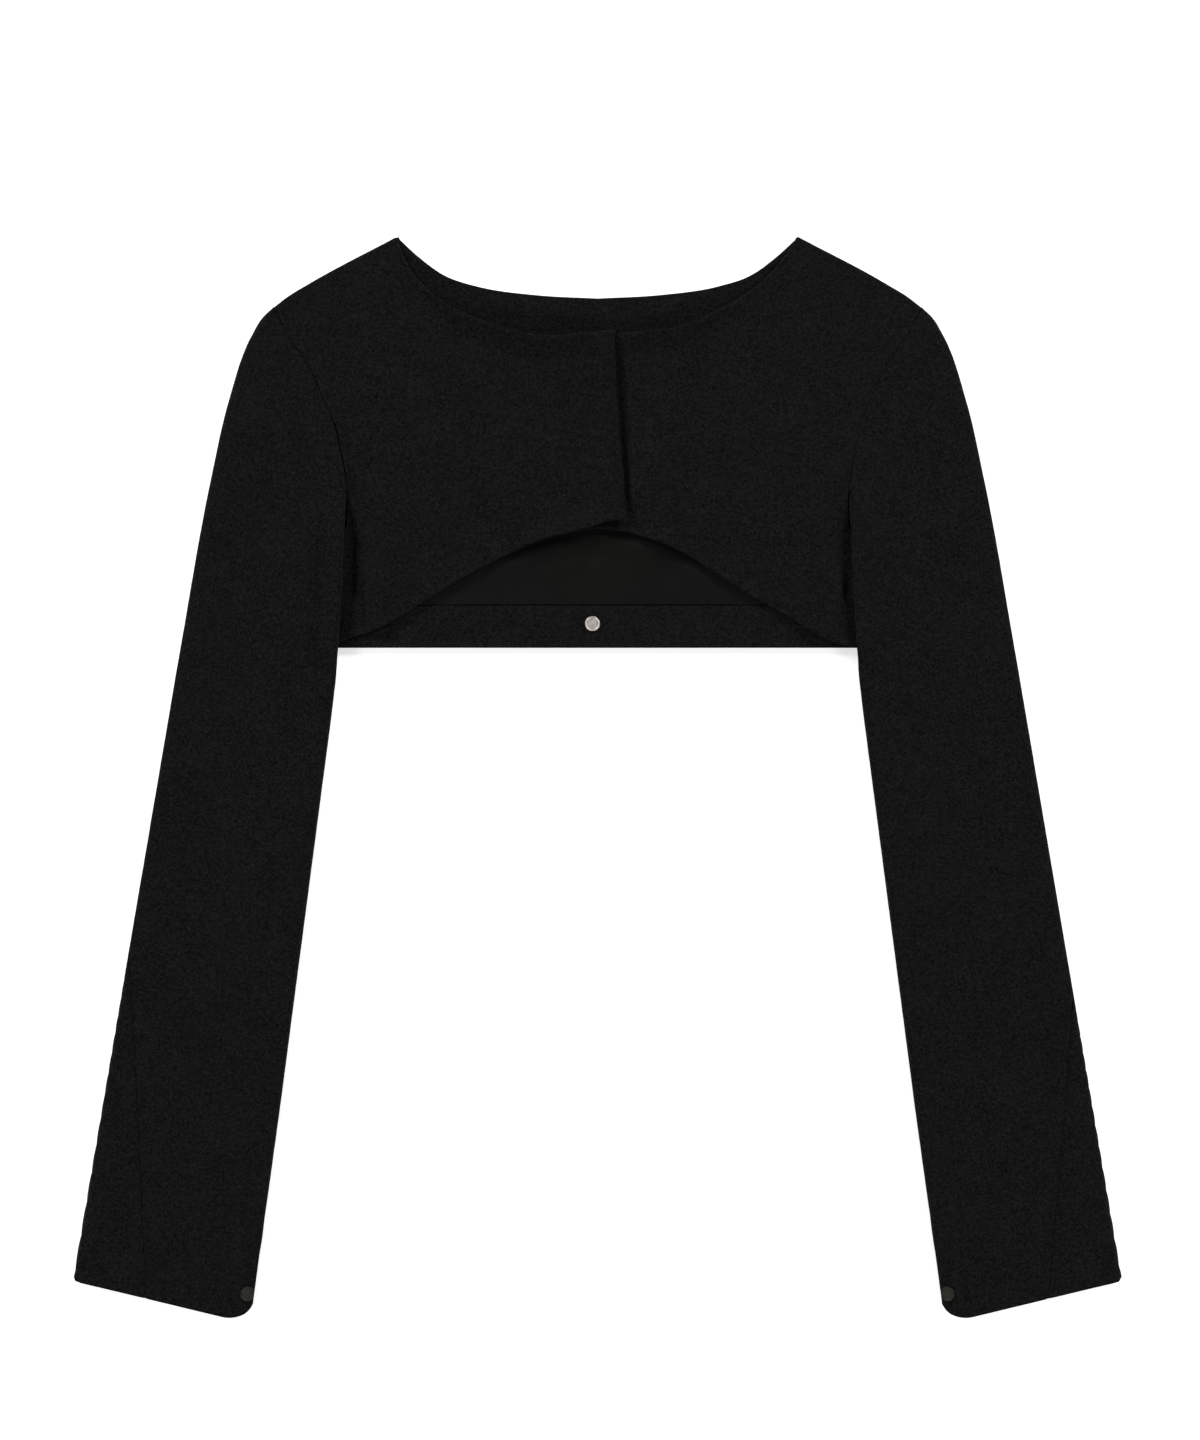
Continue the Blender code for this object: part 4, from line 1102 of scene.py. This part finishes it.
class SleeveRow:
    """One section across a sleeve, from its inner edge to its outer fold."""

    def __init__(self, sleeve, k):
        self.side = sleeve.side
        station = sleeve.stations[k]
        distance = sleeve.distances[k]
        total = sleeve.armhole_length + sleeve.fold_length
        table = dict(zip(SECTION_COLUMNS, np.transpose(SECTIONS)))
        near = station + np.linspace(-STATION_BLUR, STATION_BLUR, BLUR_POINTS)
        section = {name: np.interp(near, table["station"], table[name]).mean()
                   for name in table}
        self.lift, self.tip, self.blend = section["lift"], section["tip"], section["blend"]
        self.middle, self.outer = section["middle"], section["outer"]
        on_lip = (ease((station - LIP_FROM_STATION) / LIP_EASE)
                  * ease((LIP_TO_STATION - station) / LIP_EASE))
        self.tip += LIP_EXTRA[self.side] * on_lip
        self.open = k < sleeve.open_rows
        if self.open:
            self.lift = 0.0
            self.head = along(sleeve.armhole, distance)
        else:
            self.head = along(sleeve.fold, distance - sleeve.armhole_length)
        share = (distance - SHOULDER_INSET) / (total - SHOULDER_INSET)
        self.shift = lower_shift(distance / sleeve.armhole_length) if self.open else 0.0
        self.tail = at_fractions(sleeve.outer, share)
        if k == 0:
            self.tail = self.head + shoulder_out() * SHOULDER_INSET
        self.width = np.linalg.norm(self.tail - self.head)
        self.direction = (self.tail - self.head) / self.width
        self.rounding = ease(1.0 - (total - distance) / CUFF_CORNER_REACH)
        self.up_inner = unit(np.subtract(FOLD_EDGE[-2], FOLD_EDGE[-1]))
        self.up_outer = unit(np.subtract(SLEEVE_OUTER[-2], SLEEVE_OUTER[-1]))
        self.sink = armhole_sink(self.side, self.head[1])
        self.inner_radius = (self.tip - self.sink - self.lift - WOOL) / 2
        self.outer_radius = (self.outer - WOOL) / 2
        self.start = 0.0 if self.open else self.inner_radius + WOOL / 2
        self.end = max(self.width - self.outer_radius - WOOL / 2, self.start + SHORTEST_TOP)
        run = max(0.0, SEAM_LEAVES_FOLD_Y[self.side] - self.tail[1])
        self.seam = SEAM_SLOPE * run + SEAM_BEND[self.side] * run**2

    def place(self, points):
        """World points of (distance, height) pairs on this row."""
        distance = points[..., 0]
        plan = self.head + distance[..., None] * self.direction
        slope = np.clip(1.0 - distance / CUFF_INNER_REACH, 0.0, 1.0)
        rise_inner = (CUFF_INNER_RISE * slope**2
                      + quarter_turn(distance - WOOL / 2, CUFF_INNER_RADIUS))
        rise_outer = quarter_turn(self.width - distance - WOOL / 2, CUFF_OUTER_RADIUS)
        plan = plan + self.rounding * rise_inner[..., None] * self.up_inner
        plan = plan + self.rounding * rise_outer[..., None] * self.up_outer
        return np.concatenate([plan * (self.side, 1.0), points[..., 1:]], axis=-1)

    def top_line(self, distance):
        """Upper cloth: (distance, height) of its middle."""
        inner = ease((distance - self.start) / self.blend)
        outer = ease((self.end - distance) / OUTER_BLEND)
        height = (self.middle + (self.tip - self.middle) * (1 - inner)
                  + (self.outer - self.middle) * (1 - outer) - WOOL / 2)
        height = height - self.sink * np.exp(-((distance - self.start) / SINK_WIDTH) ** 2)
        plan = self.place(np.stack([distance, height], axis=-1))
        x, y = plan[..., 0], plan[..., 1]
        shape = creases(x, y, SLEEVE_CREASES[self.side])
        shape += unevenness(x, y, FELT_UNEVEN[:2], 61 + self.side)
        fade = ease((self.end - distance) / FOLD_FADE)
        if not self.open:
            fade = fade * ease((distance - self.start) / FOLD_FADE)
        height = height + fade * shape
        if self.open:
            height = height + seam_groove(distance, y) * ease(self.width / HEAD_EASE)
        return np.stack([distance, height], axis=-1)

    def arc(self, distance, height, radius, first, last):
        angles = np.radians(np.linspace(first, last, ARC_POINTS))
        return np.stack([distance + radius * np.cos(angles), height + radius * np.sin(angles)],
                        axis=-1)

    def wrap_line(self):
        """Underside from the front seam, and round the inner fold."""
        distance = np.linspace(FRONT_SEAM, self.start, WRAP_POINTS)
        foot = ease((distance - LIP_FLAT) / (LIP_FOOT - LIP_FLAT))
        under = np.stack([distance, WOOL / 2 + self.lift * (1 - foot)], axis=-1)
        centre = (self.tip - self.sink + self.lift) / 2
        turn = self.arc(self.start, centre, self.inner_radius, 270.0, 90.0)
        return np.concatenate([under, turn[1:-1]])

    def upper_line(self):
        """Upper cloth and the upper quarter of the outer fold, to its tip."""
        across = np.linspace(0.0, 1.0, TOP_POINTS)
        top = self.top_line(self.start + (self.end - self.start) * across)
        turn = self.arc(self.end, self.outer / 2, self.outer_radius, 90.0, 0.0)
        return np.concatenate([top, turn[1:]])

    def floor_line(self, inside):
        """Lower cloth from its inner end, and round the outer fold to its tip."""
        distance = np.linspace(inside, self.end, FLOOR_POINTS)
        floor = np.stack([distance, np.full_like(distance, WOOL / 2)], axis=-1)
        turn = self.arc(self.end, self.outer / 2, self.outer_radius, -90.0, 0.0)
        return np.concatenate([floor, turn[1:]])


def shortened(line, length):
    """A line without the given length at its end."""
    total = arc_lengths(line)[-1]
    keep = np.linspace(0.0, total - length, LINE_POINTS)
    return along(line, keep)


def make_sleeve_top(sleeve, rows, name):
    """Upper piece: it wraps the inner fold and ends on the back seam."""
    wide = max(row.width for row in rows)
    wrap_fractions = graded_shares(WRAP_LENGTH, WRAP_STEP, True, False)
    top_fractions = graded_shares(wide, GRID_STEP)
    middle = []
    for row in rows:
        line = shortened(row.upper_line(), row.seam + SEAM_GAP / 2 + SEAM_RIM)
        top = at_fractions(line, top_fractions)
        from_seam = arc_lengths(top)[-1] - arc_lengths(top)
        top[:, 1] += ease(row.seam / SEAM_FADE) * seam_groove(from_seam, row.place(top)[:, 1])
        if row.open:
            step = top[1] - top[0]
            wrap = top[:1] + (wrap_fractions - 1.0)[:, None] * step * OPEN_WRAP_STEPS
        else:
            wrap = at_fractions(np.concatenate([row.wrap_line(), top[:1]]), wrap_fractions)
        middle.append(row.place(np.concatenate([wrap[:-1], top])))
    middle = np.array(middle)
    cells = all_cells(middle)
    wrap_cells = len(wrap_fractions) - 1
    cells[:sleeve.open_rows - 1, :wrap_cells] = False
    rim = np.full(middle.shape[:2], SEAM_RIM)
    rim[-1] = FREE_RIM
    item = make_cloth(name, middle, -sleeve.side, WOOL_MATERIAL, cells=cells, rim=rim,
                      seed=70 + sleeve.side)
    declare(item, name)
    return item


def make_sleeve_under(sleeve, rows, name):
    """Lower piece: it lies on the floor and wraps the outer fold."""
    wide = max(row.width for row in rows)
    first = FRONT_SEAM + SEAM_GAP + 2 * SEAM_RIM
    inside_shares = np.linspace(0.0, 1.0, INSIDE_POINTS)
    fractions = graded_shares(wide, UNDER_STEP)
    middle = []
    for row in rows:
        start = min(first, UNDER_START_SHARE * row.end)
        line = row.floor_line(start)
        reach = row.seam - SEAM_GAP / 2 - SEAM_RIM
        if reach > 0:
            up = row.upper_line()[::-1]
            past = along(up, np.linspace(0.0, reach, FLOOR_POINTS))
            line = np.concatenate([line, past[1:]])
            line = at_fractions(line, fractions)
            from_seam = arc_lengths(line)[-1] - arc_lengths(line)
            groove = seam_groove(from_seam, row.place(line)[:, 1])
            line[:, 1] += ease(row.seam / SEAM_FADE) * groove
        else:
            line = at_fractions(shortened(line, -reach), fractions)
        inside = row.shift + (start - row.shift) * inside_shares
        inside = np.stack([inside, np.full_like(inside, WOOL / 2)], axis=-1)
        middle.append(row.place(np.concatenate([inside[:-1], line])))
    middle = np.array(middle)
    cells = all_cells(middle)
    cells[sleeve.open_rows - 1:, :INSIDE_POINTS - 1] = False
    rim = np.full(middle.shape[:2], SEAM_RIM)
    rim[-1] = FREE_RIM
    item = make_cloth(name, middle, sleeve.side, WOOL_MATERIAL, cells=cells, rim=rim,
                      seed=80 + sleeve.side)
    declare(item, name)
    return item


# ---- Snaps ------------------------------------------------------------------

def snap_profile():
    """Radius and height of a snap cap from the foot to the edge of its dish."""
    rim_radius = SNAP_RIM / 2
    centre = SNAP_RADIUS - rim_radius
    rim_height = SNAP_HEIGHT - rim_radius
    foot = [(SNAP_RADIUS + out, up) for out, up in SNAP_FOOT]
    rim = [(centre + rim_radius * math.cos(a), rim_height + rim_radius * math.sin(a))
           for a in np.linspace(0.0, math.pi, SNAP_RIM_POINTS)]
    dish = SNAP_HEIGHT - SNAP_DISH
    step = [(centre - rim_radius + out, dish + up) for out, up in SNAP_STEP]
    return [*foot, *rim[:-2], *step]


def snap_ring(radius, height):
    x, y = radius * np.cos(SNAP_ANGLES), radius * np.sin(SNAP_ANGLES)
    return np.stack([x, y, np.full_like(x, height)], axis=-1)


def snap_dish(radius, height):
    """Dish of a snap: rings of points with a cut grid of small squares."""
    rings = []
    for r in np.linspace(radius, 0.0, SNAP_DISH_RINGS)[1:-1]:
        ring = snap_ring(r, height)
        x, y = ring[:, 0], ring[:, 1]
        a = (x + y) / math.sqrt(2) * math.pi / KNURL_PITCH
        b = (x - y) / math.sqrt(2) * math.pi / KNURL_PITCH
        teeth = np.abs(np.sin(a)) * np.abs(np.sin(b))
        ring[:, 2] += KNURL_HEIGHT * teeth * ease((radius - r) / KNURL_FADE)
        rings.append(ring)
    return rings


def make_snap(node, material, placing):
    """Snap cap with a round rim and a gridded dish, turned about its axis."""
    profile = snap_profile()
    rings = [snap_ring(*corner) for corner in profile] + snap_dish(*profile[-1])
    top = rings[-1][:, 2].mean()
    points = np.concatenate([*rings, [[0.0, 0.0, 0.0], [0.0, 0.0, top]]])
    faces = []
    n = SNAP_SEGMENTS
    for k in range(len(rings) - 1):
        for j in range(n):
            after = (j + 1) % n
            faces.append((k * n + j, k * n + after, (k + 1) * n + after, (k + 1) * n + j))
    foot, crown = len(points) - 2, len(points) - 1
    last = (len(rings) - 1) * n
    for j in range(n):
        after = (j + 1) % n
        faces.append((foot, after, j))
        faces.append((last + j, last + after, crown))
    item = make_mesh(f"{node}_cap", points, faces, material)
    item.data.transform(placing)
    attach(item, "root")
    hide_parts(node)
    return item


def hem_snap_placing():
    base = FACING_MID + WOOL / 2 + GAP / 2
    return Matrix.Translation(Vector((*HEM_SNAP_XY, base)) * MM)


def cuff_snap_placing(side):
    """Place on the sloped inner fold, over the solid, sunk and leaned a little."""
    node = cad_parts[f"{'left' if side == LEFT else 'right'}_cuff_snap"]
    points = np.array([v.co for v in node.data.vertices])
    flat = points - points.mean(axis=0)
    axis = np.linalg.svd(flat, full_matrices=False)[2][2]
    axis = Vector(axis if axis[2] > 0 else -axis)
    along_axis = points @ np.array(axis)
    centre = points.mean(axis=0) - np.array(axis) * (points.mean(axis=0) @ np.array(axis))
    base = Vector(centre) + axis * (along_axis.min() - CUFF_SNAP_SUNK * MM)
    turn = Vector((0, 0, 1)).rotation_difference(axis).to_matrix().to_4x4()
    lean = Matrix.Rotation(CUFF_SNAP_LEAN, 4, Vector((0, 0, 1)).cross(axis).normalized())
    return Matrix.Translation(base) @ lean @ turn


# ---- Floor, light and camera ------------------------------------------------

def make_floor():
    """Pale floor under the garment, faintly uneven like painted board."""
    points = [(x * FLOOR_HALF, y * FLOOR_HALF, FLOOR_HEIGHT)
              for x, y in ((-1, -1), (1, -1), (1, 1), (-1, 1))]
    nodes = Nodes("pale_floor")
    grain = nodes.noise(nodes.place, 3.0, detail=3.0)
    colour = nodes.blend(grain, *FLOOR_TONES)
    material = nodes.finish(Base_Color=colour, Roughness=0.9,
                            Emission_Color=(1.0, 1.0, 1.0), Emission_Strength=FLOOR_GLOW)
    floor = make_mesh("floor", points, [(0, 1, 2, 3)], material)


def make_light(name, place, size, power):
    """Soft box that faces the middle of the garment."""
    data = bpy.data.lights.new(name, "AREA")
    data.shape = "RECTANGLE"
    data.size, data.size_y = size
    data.energy = power
    light = bpy.data.objects.new(name, data)
    bpy.context.scene.collection.objects.link(light)
    light.location = place
    light.rotation_mode = "QUATERNION"
    light.rotation_quaternion = (-Vector(place)).to_track_quat("-Z", "Y")


def make_lights():
    world = bpy.data.worlds.new("studio")
    world.use_nodes = True
    background = world.node_tree.nodes["Background"]
    background.inputs["Color"].default_value = (1.0, 1.0, 1.0, 1.0)
    background.inputs["Strength"].default_value = WORLD_LIGHT
    bpy.context.scene.world = world
    for name, x, y, power in LIGHTS:
        make_light(name, (x, y, LIGHT_HEIGHT), LIGHT_SIZE, power)


def make_camera():
    """Camera straight above, framed as wide as the picture of the garment."""
    data = bpy.data.cameras.new("camera")
    data.sensor_width = SENSOR
    data.lens = LENS
    data.dof.use_dof = False
    distance = FRAME_HEIGHT * MM_PER_PIXEL * LENS / SENSOR
    data.clip_start = 0.1
    data.clip_end = 20.0
    camera = bpy.data.objects.new("camera", data)
    bpy.context.scene.collection.objects.link(camera)
    camera.location = Vector((*VIEW_CENTRE, FOCUS_HEIGHT + distance)) * MM
    bpy.context.scene.camera = camera


def main():
    make_camera()
    make_back()
    make_lining()
    make_hem_facing()
    make_neck_facing()
    make_front(LEFT, LEFT_NECK, LEFT_HEM, LEFT_EDGE, False)
    make_front(RIGHT, RIGHT_NECK, RIGHT_HEM, RIGHT_EDGE, True)
    for side_name, side in (("left", LEFT), ("right", RIGHT)):
        sleeve = Sleeve(side)
        rows = sleeve.rows()
        make_sleeve_top(sleeve, rows, f"{side_name}_sleeve_top")
        make_sleeve_under(sleeve, rows, f"{side_name}_sleeve_under")
        make_snap(f"{side_name}_cuff_snap", DARK_NICKEL, cuff_snap_placing(side))
    make_snap("hem_snap", LIGHT_NICKEL, hem_snap_placing())
    make_floor()
    make_lights()
    bpy.context.scene.view_settings.view_transform = "Standard"


main()
